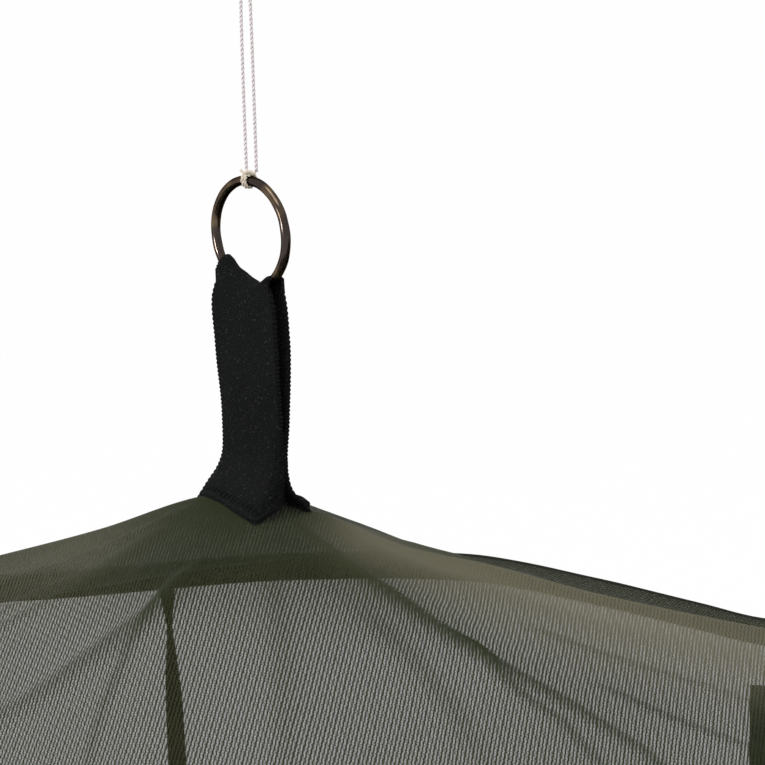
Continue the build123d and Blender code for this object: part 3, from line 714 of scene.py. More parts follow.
ridge = smooth_line([(rod_x, 0.398), (peak_x - 0.23, 0.437), (peak_x - 0.14, 0.4625), (peak_x - 0.11, 0.4705),
                     (peak_x - 0.067, 0.4830), (peak_x - 0.04, 0.4914), (peak_x - 0.014, 0.5010),
                     (peak_x, peak_z + 0.0014), (peak_x + 0.015, 0.4986), (peak_x + 0.038, 0.4902),
                     (peak_x + 0.062, 0.4852), (peak_x + 0.09, 0.4780), (peak_x + 0.132, 0.4712),
                     (peak_x + 0.2, 0.4640), (peak_x + 0.32, 0.4495), (middle_x, 0.4315)])
edge = smooth_line([(rod_x, 0.395), (peak_x - 0.21, 0.3950), (peak_x - 0.138, 0.3955),
                    (peak_x - 0.087, 0.4014),
                    (peak_x - 0.053, 0.4058), (peak_x - 0.026, 0.4078), (peak_x, 0.4090),
                    (peak_x + 0.027, 0.4084), (peak_x + 0.064, 0.4018), (peak_x + 0.097, 0.3946),
                    (peak_x + 0.118, 0.3900), (peak_x + 0.2, 0.3840), (middle_x, 0.3802)])


def folded(x):
    """The same place in the head half."""
    return min(x, span - x)


def ridge_height(x):
    return ridge(folded(x))


def edge_height(x):
    return edge(folded(x))


frame_half, frame_top = 0.3, 0.405     # half width of the net's frame, and the height where it is that wide
wall_flare = 0.13                      # how much further out the walls are for each metre down


def slope_out(z):
    """How far a side wall is from the middle line at height z."""
    return frame_half + (frame_top - z) * wall_flare


def edge_out(x):
    """How far the roof's edge is from the middle line."""
    return slope_out(edge_height(x)) - 0.0004


# Folds: a line of (from the peak, from the ridge) places, the fold's width and height, and how
# far it closes the net.
roof_folds = [
    ([(0.010, -0.006), (0.021, -0.014), (0.043, -0.028), (0.059, -0.039), (0.075, -0.046), (0.088, -0.051),
      (0.106, -0.061), (0.115, -0.070), (0.16, -0.11), (0.24, -0.19)], 0.0018, 0.0022, 0.95),
    ([(0.021, -0.010), (0.046, -0.025), (0.064, -0.035), (0.080, -0.042), (0.096, -0.048), (0.14, -0.07)],
     0.0050, 0.0026, 0.10),
    ([(0.052, -0.034), (0.063, -0.040), (0.075, -0.051), (0.086, -0.057), (0.097, -0.070), (0.13, -0.11)],
     0.0016, 0.0012, 0.75),
    ([(0.016, -0.002), (0.039, -0.008), (0.050, -0.011), (0.075, -0.014), (0.092, -0.015), (0.111, -0.014),
      (0.133, -0.014), (0.25, -0.03)], 0.0040, 0.0016, 0.10),
    ([(0.070, -0.022), (0.092, -0.026), (0.120, -0.030), (0.16, -0.04)], 0.0014, 0.0008, 0.45),
    ([(0.090, -0.038), (0.110, -0.045), (0.135, -0.052), (0.17, -0.066)], 0.0014, 0.0007, 0.55),
    ([(0.030, -0.030), (0.048, -0.048), (0.060, -0.064), (0.075, -0.09)], 0.0040, 0.0012, 0.30),
    ([(-0.006, -0.026), (-0.015, -0.044), (-0.020, -0.063), (-0.022, -0.091), (-0.020, -0.13)],
     0.0018, 0.0012, 0.55),
    ([(-0.008, -0.034), (-0.015, -0.050), (-0.029, -0.063), (-0.040, -0.074), (-0.049, -0.081),
      (-0.08, -0.11)],
     0.0050, 0.0024, 0.45),
    ([(-0.016, -0.010), (-0.034, -0.020), (-0.060, -0.030), (-0.10, -0.045)], 0.0030, 0.0014, 0.35),
    ([(-0.012, -0.004), (-0.025, -0.009), (-0.038, -0.012), (-0.063, -0.016), (-0.12, -0.026)],
     0.0024, 0.0012, -0.35),
    ([(-0.020, -0.016), (-0.045, -0.030), (-0.07, -0.045), (-0.12, -0.08)], 0.0026, 0.0012, 0.3),
    ([(0.006, -0.016), (0.018, -0.062), (0.028, -0.12), (0.05, -0.20)], 0.0045, 0.0012, 0.2),
    ([(0.018, 0.004), (0.06, 0.04), (0.12, 0.09), (0.22, 0.17)], 0.006, 0.002, 0.3),
    ([(-0.016, 0.010), (-0.05, 0.05), (-0.11, 0.12), (-0.17, 0.20)], 0.006, 0.002, 0.3),
    ([(0.002, 0.012), (0.01, 0.07), (0.02, 0.16), (0.03, 0.24)], 0.007, 0.003, 0.2),
]


def from_line(point, places):
    """How far a plan point is from a line of places, and how far along that line it lies."""
    best, along = 1.0, 0.0
    px, py = point
    count = len(places) - 1
    for i, ((ax, ay), (bx, by)) in enumerate(zip(places, places[1:])):
        dx, dy = bx - ax, by - ay
        t = min(max(((px - ax) * dx + (py - ay) * dy) / (dx * dx + dy * dy), 0), 1)
        distance = hypot(px - ax - dx * t, py - ay - dy * t)
        if distance < best:
            best, along = distance, (i + t) / count
    return best, along


fold_boxes = [(min(p[0] for p in f[0]) - 4 * f[1], max(p[0] for p in f[0]) + 4 * f[1],
               min(p[1] for p in f[0]) - 4 * f[1], max(p[1] for p in f[0]) + 4 * f[1]) for f in roof_folds]


def fold_at(x, y):
    """Height that the folds add at a plan point of the roof, and how far they close the net."""
    dx = folded(x) - peak_x
    height = closed = 0.0
    for (places, width, lift, closing), (x0, x1, y0, y1) in zip(roof_folds, fold_boxes):
        if x0 < dx < x1 and y0 < y < y1:
            distance, along = from_line((dx, y), places)
            fade = min(along * 6, 1.0) * (1 - along) ** 0.5
            height += lift * exp(-(distance / width) ** 2) * fade
            closed += closing * exp(-(distance / (width * 0.8)) ** 2) * fade
    return height, closed


def roof_place(x, t):
    """A point of the roof: x along it, and t from -1 at the near edge to 1 at the far edge."""
    y = t * edge_out(x)
    top, low = ridge_height(x), edge_height(x)
    across = abs(t)
    z = top + (low - top) * across
    reach = hypot(folded(x) - peak_x, y)
    z -= 0.006 * sin(pi * across) * (1 - exp(-reach / 0.12))
    height, _ = fold_at(x, y)
    wrinkle = noise.noise(Vector((x * 9, y * 9, 1.7))) * 0.0035 * min(1, reach / 0.15) * (1 - across ** 4)
    return Vector((x, y, z + height + wrinkle))


sunny_line = smooth_line([(0.010, 0.002), (0.023, -0.004), (0.039, -0.009), (0.050, -0.012), (0.061, -0.015),
                          (0.092, -0.019), (0.133, -0.022), (0.25, -0.035), (0.40, -0.05)])


def step_up(value, low, high):
    """0 under low, 1 over high, and a smooth step between."""
    t = min(max((value - low) / (high - low), 0), 1)
    return t * t * (3 - 2 * t)


def roof_open(x, t):
    y = t * edge_out(x)
    dx = folded(x) - peak_x
    _, closed = fold_at(x, y)
    opened = 0.95 + noise.noise(Vector((x * 22, y * 22, 4.1))) * 0.10
    if y < 0:
        opened -= 0.86 * exp(-((dx - 0.002) / 0.050) ** 2) * exp(-(y / 0.036) ** 2)
        if dx < 0:
            opened -= 0.25 * exp(-(y / 0.020) ** 2)
        else:
            opened -= 0.25 * step_up(y - sunny_line(dx), -0.040, 0.006) * step_up(dx, 0.010, 0.03)
            opened -= 0.25 * step_up(y - sunny_line(dx), -0.004, 0.006) * step_up(dx, 0.010, 0.03)
    else:
        opened -= 0.85 * exp(-(y / 0.27) ** 6)
    return min(max(opened - closed, -0.1), 1.1)


def roof_painted_lit(x, t):
    """Painted light: the cloth beyond each hanging point is painted paler where it lies flattest to the sky, as if lit
    from above.
    """
    y = t * edge_out(x)
    dx = folded(x) - peak_x
    streaks = 0.5 + 0.5 * noise.noise(Vector((dx * 8, y * 55, 6.0)))
    if dx > 0:
        flat_side = step_up(y - sunny_line(dx), -0.026, 0.010) * step_up(dx, 0.008, 0.030)
        if y > 0:
            flat_side *= exp(-(y / 0.02) ** 2)
        return (0.45 + 0.5 * streaks) * flat_side * exp(-(max(0, dx - 0.2) / 0.25) ** 2)
    beside_ridge = exp(-((y + 0.006) / 0.026) ** 2) * exp(-(dx / 0.3) ** 2)
    return 0.62 * streaks * beside_ridge * step_up(-dx, 0.01, 0.05)


# %% Roof sheet
fine, coarse = 0.00125, 0.02
roof_us = (steps(rod_x, peak_x - 0.145, coarse)[:-1] + steps(peak_x - 0.145, peak_x + 0.175, fine)[:-1]
           + steps(peak_x + 0.175, span - peak_x - 0.15, coarse)[:-1]
           + steps(span - peak_x - 0.15, span - peak_x + 0.15, 0.006)[:-1]
           + steps(span - peak_x + 0.15, span - rod_x, coarse))
roof_vs = [t / 0.302 for t in (steps(-0.302, -0.128, 0.02)[:-1] + steps(-0.128, 0.03, 0.0015)[:-1]
                               + steps(0.03, 0.302, 0.016))]
roof_mesh = cloth_grid(roof_us, roof_vs, roof_place, lambda u, v: (u, v * 0.316), roof_open, roof_painted_lit)
roof = make_piece("roof_net_sheet", roof_mesh, net, slot="net", covers=["roof_net"])
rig.sheet(roof, flat=(0.64, 1.95), held="hung", rests_on=["head_elastic_loop", "foot_elastic_loop"])
print("roof faces", len(roof.data.polygons))

# %% [markdown]
# ## Side walls
# A net wall hangs on each side from the roof's edge down to the bed's hem. Both are single
# sheets again. The far one is cut out for the door's two zips, so its grid leaves a gap where
# the zip tapes lie.

# %% Wall lines
gather_x, gather_z = 0.1499, -0.075
hem_sag, bed_depth, gather_depth = 0.130, 0.500, 0.040
gather_out = 0.045                     # how far the hems are from the middle line at a gathered end
rod_z = 0.395                          # height of the roof's edge over a rod
seam_out, seam_rise_from = 0.035, 0.020    # where a wall's slanted edge starts, out and above the gather


def fullness(x):
    """0 at a gathered end of the bed and 1 at the middle."""
    u = min(max((x - gather_x) / (span - 2 * gather_x), 0), 1)
    return 4 * u * (1 - u)


def hem_height(x):
    return gather_z - hem_sag * fullness(x)


def hem_out(x):
    opened = min(1.0, fullness(x) / fullness(peak_x)) ** 0.65
    return gather_out + (slope_out(hem_height(x)) - gather_out) * opened


def wall_top(x):
    """(out, up) of the wall's upper edge: the roof's edge, and past the rods the seam to the gather."""
    x = folded(x)
    if x >= rod_x:
        return edge_out(x) + 0.0004, edge_height(x)
    share = (x - gather_x) / (rod_x - gather_x)
    seam_low = gather_z + seam_rise_from
    return seam_out + (slope_out(rod_z) - seam_out) * share, seam_low + (rod_z - seam_low) * share


def wall_place(side):
    def place(x, t):
        """t is 0 at the hem and 1 at the roof."""
        low_out, low_up = hem_out(x) - 0.0008, hem_height(x) + 0.0064
        top_out, top_up = wall_top(x)
        top_up -= 0.001
        slack = sin(pi * t) * min(1, (folded(x) - gather_x) / 0.5)
        ripple = noise.noise(Vector((x * 5.5, t * 1.3, 2.0 + side))) * 0.007 * slack
        ripple += noise.noise(Vector((x * 19, t * 2.1, 7.0 + side))) * 0.0022 * slack
        return Vector((x, side * (low_out + (top_out - low_out) * t + ripple - 0.002 * slack),
                       low_up + (top_up - low_up) * t))
    return place


def wall_flat(x, t):
    low, top = hem_height(x), wall_top(x)[1]
    return x, low + (top - low) * t


def wall_open(x, t):
    return min(1.1, 0.84 + noise.noise(Vector((x * 12, t * 6, 9.0))) * 0.12)


# %% Near wall
wall_us = steps(gather_x + 0.002, span - gather_x - 0.002, 0.016)
near_mesh = cloth_grid(wall_us, steps(0, 1, 1 / 30), wall_place(-1), wall_flat, wall_open)
near_wall = make_piece("near_wall_sheet", near_mesh, wall_net, slot="net", covers=["near_wall_net"])
near_area = sum(p.area for p in near_wall.data.polygons)
print("near wall area", round(near_area, 3), "m2")

# %% Far wall, with the opening for the zips
upright_low, upright_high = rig.box("door_upright_zip_tapes")
long_low, long_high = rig.box("door_long_zip_tapes")
zip_x = (upright_low.x + upright_high.x) / 2
zip_half = (upright_high.x - upright_low.x) / 2 - 0.0012     # the net laps the tapes
zip_z = (long_low.z + long_high.z) / 2
long_zip_half = 0.0134                                       # half the height that the long zip takes


def share_at(x, z):
    low, top = hem_height(x) + 0.0064, wall_top(x)[1] - 0.001
    return (z - low) / (top - low)


def far_rows(x):
    """Rows of the far wall: the straight lines of the door's zip tapes are among them."""
    x = min(max(x, zip_x - 0.03), long_high.x + 0.03)
    return [0.0, share_at(x, zip_z - long_zip_half), share_at(x, zip_z + long_zip_half),
            share_at(x, upright_high.z), 1.0]


def far_place(x, row):
    """row counts 0..10 under the long zip, 10..12 across it, 12..40 above it, 40..42 at the top."""
    marks = far_rows(x)
    for (r0, r1), (a, b) in zip(((0, 6), (6, 8), (8, 40), (40, 42)), zip(marks, marks[1:])):
        if row <= r1:
            t = a + (b - a) * (row - r0) / (r1 - r0)
            break
    point = wall_place(1)(x, t)
    if zip_x - 0.05 < x < long_high.x + 0.05:
        near_zip = min(abs(x - zip_x) / 0.05, abs(point.z - zip_z) / 0.05, 1)
        flat_y = slope_out(point.z) + 0.0003
        point.y = flat_y + (point.y - flat_y) * near_zip
    return point


def far_flat(x, row):
    point = far_place(x, row)
    return x, point.z


far_us = sorted(set(steps(gather_x + 0.002, zip_x - zip_half, 0.016) + [zip_x - zip_half, zip_x + zip_half]
                    + steps(zip_x + zip_half, long_high.x, 0.016)
                    + steps(long_high.x, span - gather_x - 0.002, 0.016)))
far_mesh = cloth_grid(far_us, list(range(43)), far_place, far_flat, lambda x, row: wall_open(x, row / 42))
doomed = []
for face in far_mesh.faces:
    middle = face.calc_center_median()
    beside_zip = abs(middle.x - zip_x) < zip_half - 0.0005
    under_upright = beside_zip and zip_z - long_zip_half < middle.z < upright_high.z
    under_long = zip_x - zip_half < middle.x < long_high.x and abs(middle.z - zip_z) < long_zip_half
    if under_upright or under_long:
        doomed.append(face)
bmesh.ops.delete(far_mesh, geom=doomed, context="FACES")
far_wall = make_piece("far_wall_sheet", far_mesh, wall_net, slot="net", covers=["far_wall_net"])
far_area = sum(p.area for p in far_wall.data.polygons)
print("far wall area", round(far_area, 3), "m2, faces", len(far_wall.data.polygons))
wall_cut = 1.05 * near_area
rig.sheet(near_wall, flat=(0.66, 2.32), held="hung", rests_on=["roof_net", "near_hem"], area=wall_cut)
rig.sheet(far_wall, flat=(0.66, 2.32), held="hung", rests_on=["roof_net", "far_hem"], area=wall_cut)

# %% [markdown]
# ## Binding tape on the roof's edges
# A folded strip of dark tape covers the seam between the roof and each wall. It is a thin strip
# that follows the edge, with a row of stitches near its lower side.

# %% Binding material
def tape_look(name, colour, stitch_colour, stitch_row):
    look = Look(name)
    along, across = look.cloth_uv()
    weave = (((along / 0.0009).math("FRACT") - 0.5).math("ABSOLUTE")
             * ((across / 0.0008).math("FRACT") - 0.5).math("ABSOLUTE"))
    in_step = (along / 0.0032).math("FRACT")
    dash = in_step.above(0.18, 0.26) * (1 - in_step.above(0.80, 0.88))
    row = 1 - ((across - stitch_row).math("ABSOLUTE")).above(0.00022, 0.0004)
    stitch = dash * row
    cloth = look.speckle(70, 2).between_colours(colour, tuple(c * 1.45 for c in colour))
    look.surface(Base_Color=stitch.between_colours(cloth, stitch_colour), Roughness=0.8)
    look.shader.inputs["Specular IOR Level"].default_value = 0.15
    look.bump(weave * 3 + stitch * 1.4, 0.6, 0.00025)
    return look


binding = tape_look("olive_binding", (0.012, 0.014, 0.0085), (0.030, 0.033, 0.021), 0.0014)


def strip(name, us, profile, place, look, **facts):
    """A closed strip: profile is a loop of (out, up) places that place(u, out, up) puts on the edge."""
    lengths = [0.0]
    for a, b in zip(profile, profile[1:] + profile[:1]):
        lengths.append(lengths[-1] + hypot(b[0] - a[0], b[1] - a[1]))
    bm = wrapped_grid(us, len(profile), lambda u, k: place(u, *profile[k]), lambda u, k: (u, lengths[k]))
    return make_piece(name, bm, look, **facts)


# %% Binding strips
def binding_place(side):
    def place(x, out, up):
        height = edge_height(x)
        pucker = noise.noise(Vector((x * 60, side * 3.0, 0.5))) * 0.0004
        base = slope_out(height + up)
        return Vector((x, side * (base + 0.001 + out + pucker), height + up))
    return place


binding_profile = [(0, -0.009), (0.0006, -0.0094), (0.0012, -0.009), (0.0013, -0.0045), (0.0012, -0.0002),
                   (0.0006, 0.0003), (0, -0.0002), (0, -0.0045)]
seam_us = (steps(rod_x, peak_x - 0.15, 0.012)[:-1] + steps(peak_x - 0.15, peak_x + 0.18, 0.003)[:-1]
           + steps(peak_x + 0.18, span - rod_x, 0.012))
for side, name in ((-1, "near"), (1, "far")):
    strip(f"{name}_edge_binding", seam_us, binding_profile, binding_place(side), binding,
          slot="binding", covers=[f"{name}_roof_seam"])

# %% [markdown]
# ## Tie-out tapes
# A tape hangs from each edge near each hanging point, so that the sides can be pulled out and
# tied. It is gathered where it is sewn on, narrow and half turned just under that, and flat
# further down. A strip with a width and a turn that change along it gives that shape.

# %% Tie-out tapes
def hanging_tape(top, length, width_at, turn_at, sway_at):
    """A flat tape that hangs down from a point. The width, the turn about its own line and the
    sway are functions of how far down it is, from 0 to 1."""
    def place(s, a):
        turn, sway = turn_at(s), sway_at(s)
        flat = Vector((cos(turn), sin(turn), 0))
        return top + Vector((sway[0], sway[1], -length * s)) + flat * (width_at(s) / 2 * a)
    return cloth_grid(steps(0, 1, 1 / 70), steps(-1, 1, 1 / 3), place,
                      lambda s, a: (length * s, 0.004 * a + 0.004))


tie_looks = tape_look("tie_tape", (0.016, 0.019, 0.011), (0.030, 0.032, 0.021), 0.0011)
tie_width = smooth_line([(0, 0.0052), (0.025, 0.0042), (0.045, 0.0022), (0.065, 0.0020), (0.1, 0.0034),
                         (0.16, 0.0054),
                         (0.3, 0.0062), (0.7, 0.0074), (1, 0.008)])
tie_turn = smooth_line([(0, 0.0), (0.05, 0.3), (0.12, 0.4), (0.3, 0.2), (0.6, 0.1), (1, -0.25)])
tie_drift = smooth_line([(0, 0), (0.1, 0.0006), (0.3, 0.0012), (0.6, 0.0012), (1, 0.0005)])
for side, name in ((-1, "near"), (1, "far")):
    low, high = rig.box(f"{name}_tie_tapes")
    length = high.z + 0.008 - low.z
    lean = wall_flare * length
    tapes = []
    for x in (low.x + 0.004, high.x - 0.004):
        top = Vector((x, side * (slope_out(high.z) + 0.0026), high.z + 0.008))
        tapes.append(hanging_tape(top, length, tie_width, lambda s: side * tie_turn(s),
                                  lambda s: (tie_drift(s), side * (lean * s + 0.0014 * sin(pi * s)))))
    ties = make_piece(f"{name}_tie_out_tapes", joined(tapes), tie_looks, slot="binding",
                      covers=[f"{name}_tie_tapes"])
    thicken(ties, 0.0007)

# %% [markdown]
# ## Webbing loop
# A strip of black elastic webbing is folded up over the ring's lowest wire. Inside the ring it is
# squeezed narrower than it is wide, so the fold is cupped. Its two legs close together below the
# wire, and open again at the roof, where each is sewn down. Elastic webbing has a row of small
# loops of yarn along both edges, so the strip's edges are scalloped.

# %% Elastic material
elastic = Look("black_elastic")
rib_along, rib_across = elastic.cloth_uv()
rib = ((rib_across / 0.0008).math("FRACT") - 0.5).math("ABSOLUTE") * 2
every_other = (rib_across / 0.0016).math("FRACT").math("GREATER_THAN", 0.5)
pick = ((rib_along / 0.0008 + every_other * 0.5).math("FRACT") - 0.5).math("ABSOLUTE") * 2
yarn = rib * 0.5 + pick * 0.5
fuzz = elastic.speckle(2300, 3)
lint = elastic.speckle(1400, 2).above(0.61, 0.72)
base = (yarn * 0.4 + fuzz * 0.6).between_colours((0.0016, 0.0018, 0.0018), (0.0085, 0.0092, 0.0092))
elastic.surface(Base_Color=(lint * 0.6).between_colours(base, (0.042, 0.044, 0.042)), Roughness=0.9)
elastic.shader.inputs["Specular IOR Level"].default_value = 0.10
elastic.bump(yarn * 0.8 + fuzz * 1.4, 1.0, 0.0004)

# %% Webbing loop shape
fold_hug = 0.0093           # half width of the strip where it is squeezed inside the ring


def wire_low(s):
    """Height of the ring's wire, s along the fold, for the squeezed fold."""
    return head_ring_centre.z - sqrt(ring_radius ** 2 - min(abs(s), fold_hug) ** 2)


front_out = smooth_line([(0, 0.0078), (0.004, 0.0056), (0.008, 0.0028), (0.012, 0.0012), (0.018, 0.0009),
                         (0.026, 0.0012), (0.035, 0.0019), (0.045, 0.0021), (0.052, 0.0021)])
back_out = smooth_line([(0, 0.0088), (0.002, 0.0070), (0.005, 0.0030), (0.008, 0.0012), (0.014, 0.0006),
                        (0.024, 0.0012), (0.035, 0.0018), (0.045, 0.0021), (0.052, 0.0021)])
half_at = smooth_line([(0, 0.0122), (0.004, 0.0115), (0.009, 0.0110), (0.014, 0.0109), (0.022, 0.0113),
                       (0.036, 0.0116), (0.044, 0.0117), (0.050, 0.0115), (0.054, 0.0100)])
shift_at = smooth_line([(0, 0.0), (0.004, 0.0008), (0.009, 0.0014), (0.018, 0.0014), (0.030, 0.0011),
                        (0.040, 0.0005), (0.050, -0.0004), (0.056, 0.0)])


def roof_under(point):
    """Height of the roof under a point."""
    t = point.y / edge_out(point.x)
    return roof_place(point.x, t).z


leg_rows = 0.44             # share of the strip's rows that each leg takes
fold_top = 0.0535           # the legs end this far above the roof's peak, and the turn starts
foot_share = 0.16           # share of a leg that follows the roof under it
tuck_from = 0.84            # across the front foot, the corner past this is tucked under


def webbing_leg(leg, share, a):
    """A place on a leg: leg is 1 in front and -1 behind, share runs from its foot to the fold."""
    up = fold_top * share
    s = a * half_at(up) + shift_at(up)
    out = front_out(up) if leg > 0 else -back_out(up)
    cup = 0.0010 * (1 - a * a) * sin(pi * min(1, share * 1.1)) * leg
    level = wire_low(s) - wire_low(0)
    z = peak_z + up + level * share ** 6 * 0.9
    point = head_ring_centre + ring_side * s + ring_axis * (out + cup)
    point.z = z
    if share < foot_share:
        on_roof = roof_under(point) - 0.0004 + z - peak_z
        blend_in = 1 - share / foot_share
        point.z = on_roof * blend_in + z * (1 - blend_in)
    if leg > 0:
        tucked = max(0, a - tuck_from) / (1 - tuck_from) * max(0, 1 - share / 0.4) ** 1.5
        point -= ring_axis * (0.0080 * tucked) + ring_side * (0.0004 * tucked)
        point.z += 0.0052 * tucked
    return point


def webbing_turn(turn, a):
    """A place on the turn over the wire: turn runs from 0 in front to pi behind. The ring squeezes
    the strip there, so one edge stands up in a horn and the middle dips."""
    squeeze = sin(turn) ** 0.7
    half = half_at(fold_top)
    half += (fold_hug + 0.0002 - half) * squeeze
    s = a * half + shift_at(fold_top) * (1 - squeeze)
    reach = 0.0021          # from the wire's middle line to the middle of the strip
    droop = max(0, a - 0.86) * 0.010 * squeeze
    horn = 0.0014 * exp(-((a + 0.98) / 0.25) ** 2) + 0.0009 * exp(-((a + 0.45) / 0.28) ** 2)
    dip = 0.0011 * exp(-((a - 0.42) / 0.30) ** 2) + 0.0006 * max(0, a)
    point = head_ring_centre + ring_side * s + ring_axis * (reach * cos(turn))
    point.z = wire_low(s) - 0.0002 + (reach - 0.00005 + horn - dip) * sin(turn) - droop
    return point


def webbing_point(t, a):
    """t is from 0 at the front foot to 1 at the back foot, and a from -1 to 1 across the strip."""
    if t < leg_rows:
        return webbing_leg(1, t / leg_rows, a)
    if t > 1 - leg_rows:
        return webbing_leg(-1, (1 - t) / leg_rows, a)
    return webbing_turn(pi * (t - leg_rows) / (1 - 2 * leg_rows), a)


# %% Webbing loop mesh
webbing_length, webbing_half = 0.128, 0.0125
picot_pitch = 0.0011        # the loops of yarn along the edges are this far apart
rows_along, rows_across = 520, 22
webbing_mesh = bmesh.new()
bmesh.ops.create_grid(webbing_mesh, x_segments=rows_along, y_segments=rows_across, size=1)
webbing_uv = webbing_mesh.loops.layers.uv.new("cloth")
webbing_where = {v: ((v.co.x + 1) / 2, v.co.y) for v in webbing_mesh.verts}
for vert, (t, a) in webbing_where.items():
    point = webbing_point(t, a)
    crumple = noise.noise(Vector((t * 9, a * 1.6, 3.3))) * 0.0005
    point += ring_axis * crumple
    if abs(a) > 0.999:
        picot = abs(sin(pi * t * webbing_length / picot_pitch))
        point += ring_side * (0.00042 * picot - 0.0001) * (1 if a > 0 else -1)
    vert.co = point
for face in webbing_mesh.faces:
    for loop in face.loops:
        t, a = webbing_where[loop.vert]
        loop[webbing_uv].uv = (t * webbing_length, a * webbing_half)
webbing = make_piece("elastic_webbing_loop", webbing_mesh, elastic, slot="elastic_webbing",
                     covers=["head_elastic_loop"])
thicken(webbing, 0.0011)
print("webbing faces", len(webbing.data.polygons))

# %% Foot webbing loop, the mirror image of the head one
mirrored_copy(webbing, "foot_webbing_loop", elastic, slot="elastic_webbing", covers=["foot_elastic_loop"])

# %% Loose threads at the webbing's feet
thread_mesh = bmesh.new()
loose_threads = [(webbing_point(0, 0.86), [(0.0, 0, 0), (0.0016, 0.0006, -0.0011),
                                           (0.0030, -0.0004, -0.0006)]),
                 (webbing_point(0, 0.60), [(0.0, 0, 0), (-0.0004, -0.0004, -0.0016),
                                           (0.0008, -0.0010, -0.0030)]),
                 (webbing_point(0, 0.96), [(0.0, 0, 0.001), (0.0021, 0.0004, 0.0008), (0.0034, 0.0, 0.0022)]),
                 (webbing_point(1, 0.9), [(0.0, 0, 0.0005), (-0.0015, -0.0022, -0.0004),
                                          (-0.0008, -0.0042, 0.0004)])]
for start, bends in loose_threads:
    points = [start + ring_axis * 0.0008 + Vector(bend) for bend in bends]
    line, _ = even_line(read_line("thread_line", points, 8), 0.0003)
    tube_along(thread_mesh, line, 0.00011, 5)
for k in range(15):
    start = webbing_point(0.018, -0.85 + k * 0.12) + ring_axis * 0.00075
    end = webbing_point(0.026, -0.79 + k * 0.12) + ring_axis * 0.00075
    tube_along(thread_mesh, [start, (start + end) / 2 + ring_axis * 0.0001, end], 0.00016, 5)
for t, thick in ((0.006, 0.0007), (0.992, 0.0014)):        # each cut end is turned under
    edge_line = [webbing_point(t, -0.97 + 1.94 * k / 24) + Vector((0, 0, thick * 0.5)) for k in range(25)]
    tube_along(thread_mesh, edge_line, thick, 12)
bmesh.ops.recalc_face_normals(thread_mesh, faces=thread_mesh.faces)
threads = make_piece("webbing_stitches", thread_mesh, elastic, slot="elastic_webbing")
mirrored_copy(threads, "foot_webbing_stitches", elastic, slot="elastic_webbing")

# %% [markdown]
# ## Rings
# The ring is bent from round wire and plated in dark bronze, worn through to brighter metal in
# places. Its wire circle is spun round the ring's axis. The finish varies slowly round the ring,
# so that the plating looks handled.

# %% Bronze and rings
bronze = Look("antique_bronze")
worn = bronze.speckle(120, 2).above(0.50, 0.75)
pits = bronze.speckle(1500, 2)
bronze.surface(Base_Color=worn.between_colours((0.056, 0.044, 0.039), (0.150, 0.108, 0.066)), Metallic=1.0,
               Roughness=pits * 0.08 + 0.12)
bronze.shader.inputs["Specular Tint"].default_value = (0.35, 0.31, 0.30, 1)
bronze.bump(bronze.speckle(300, 2) + pits * 0.05, 0.08, 0.0002)


def ring_mesh(centre, axis):
    bm = bmesh.new()
    spoke = axis.cross(Vector((0, 0, 1))).normalized()
    bmesh.ops.create_circle(bm, cap_ends=False, segments=20, radius=wire_radius)
    turn = Matrix((spoke, axis, Vector((0, 0, -1)))).transposed().to_4x4()
    bmesh.ops.transform(bm, matrix=Matrix.Translation(centre + spoke * ring_radius) @ turn, verts=bm.verts)
    bmesh.ops.spin(bm, geom=bm.edges[:] + bm.verts[:], cent=centre, axis=axis, angle=2 * pi, steps=120,
                   use_merge=True, use_duplicate=False)
    for vert in bm.verts:
        spoke_here = (vert.co - centre) - axis * (vert.co - centre).dot(axis)
        middle = centre + spoke_here.normalized() * ring_radius
        dent = noise.noise(vert.co * 260) * 0.00009 + noise.noise(vert.co * 90) * 0.00010
        vert.co += (vert.co - middle).normalized() * dent
    bmesh.ops.recalc_face_normals(bm, faces=bm.faces)
    return bm


for end, centre, axis in (("head", head_ring_centre, ring_axis),
                          ("foot", Vector((span - peak_x, 0, head_ring_centre.z)),
                           Vector((-ring_axis.x, ring_axis.y, 0)))):
    make_piece(f"{end}_hanging_ring", ring_mesh(centre, axis), bronze, f"{end}_ring", "ring_metal",
               [f"{end}_ring"])

# %% [markdown]
# ## Bed
# The bed is one sheet of ripstop nylon made of three long panels. It is gathered at both ends, so
# pleats run out from them and die away towards the middle. Cloth under this load is taut, with no
# room to fall anywhere else, so its shape is worked out and not simulated: each section is an arc
# between the hems, and pleats and slow ripples are added along its normal.

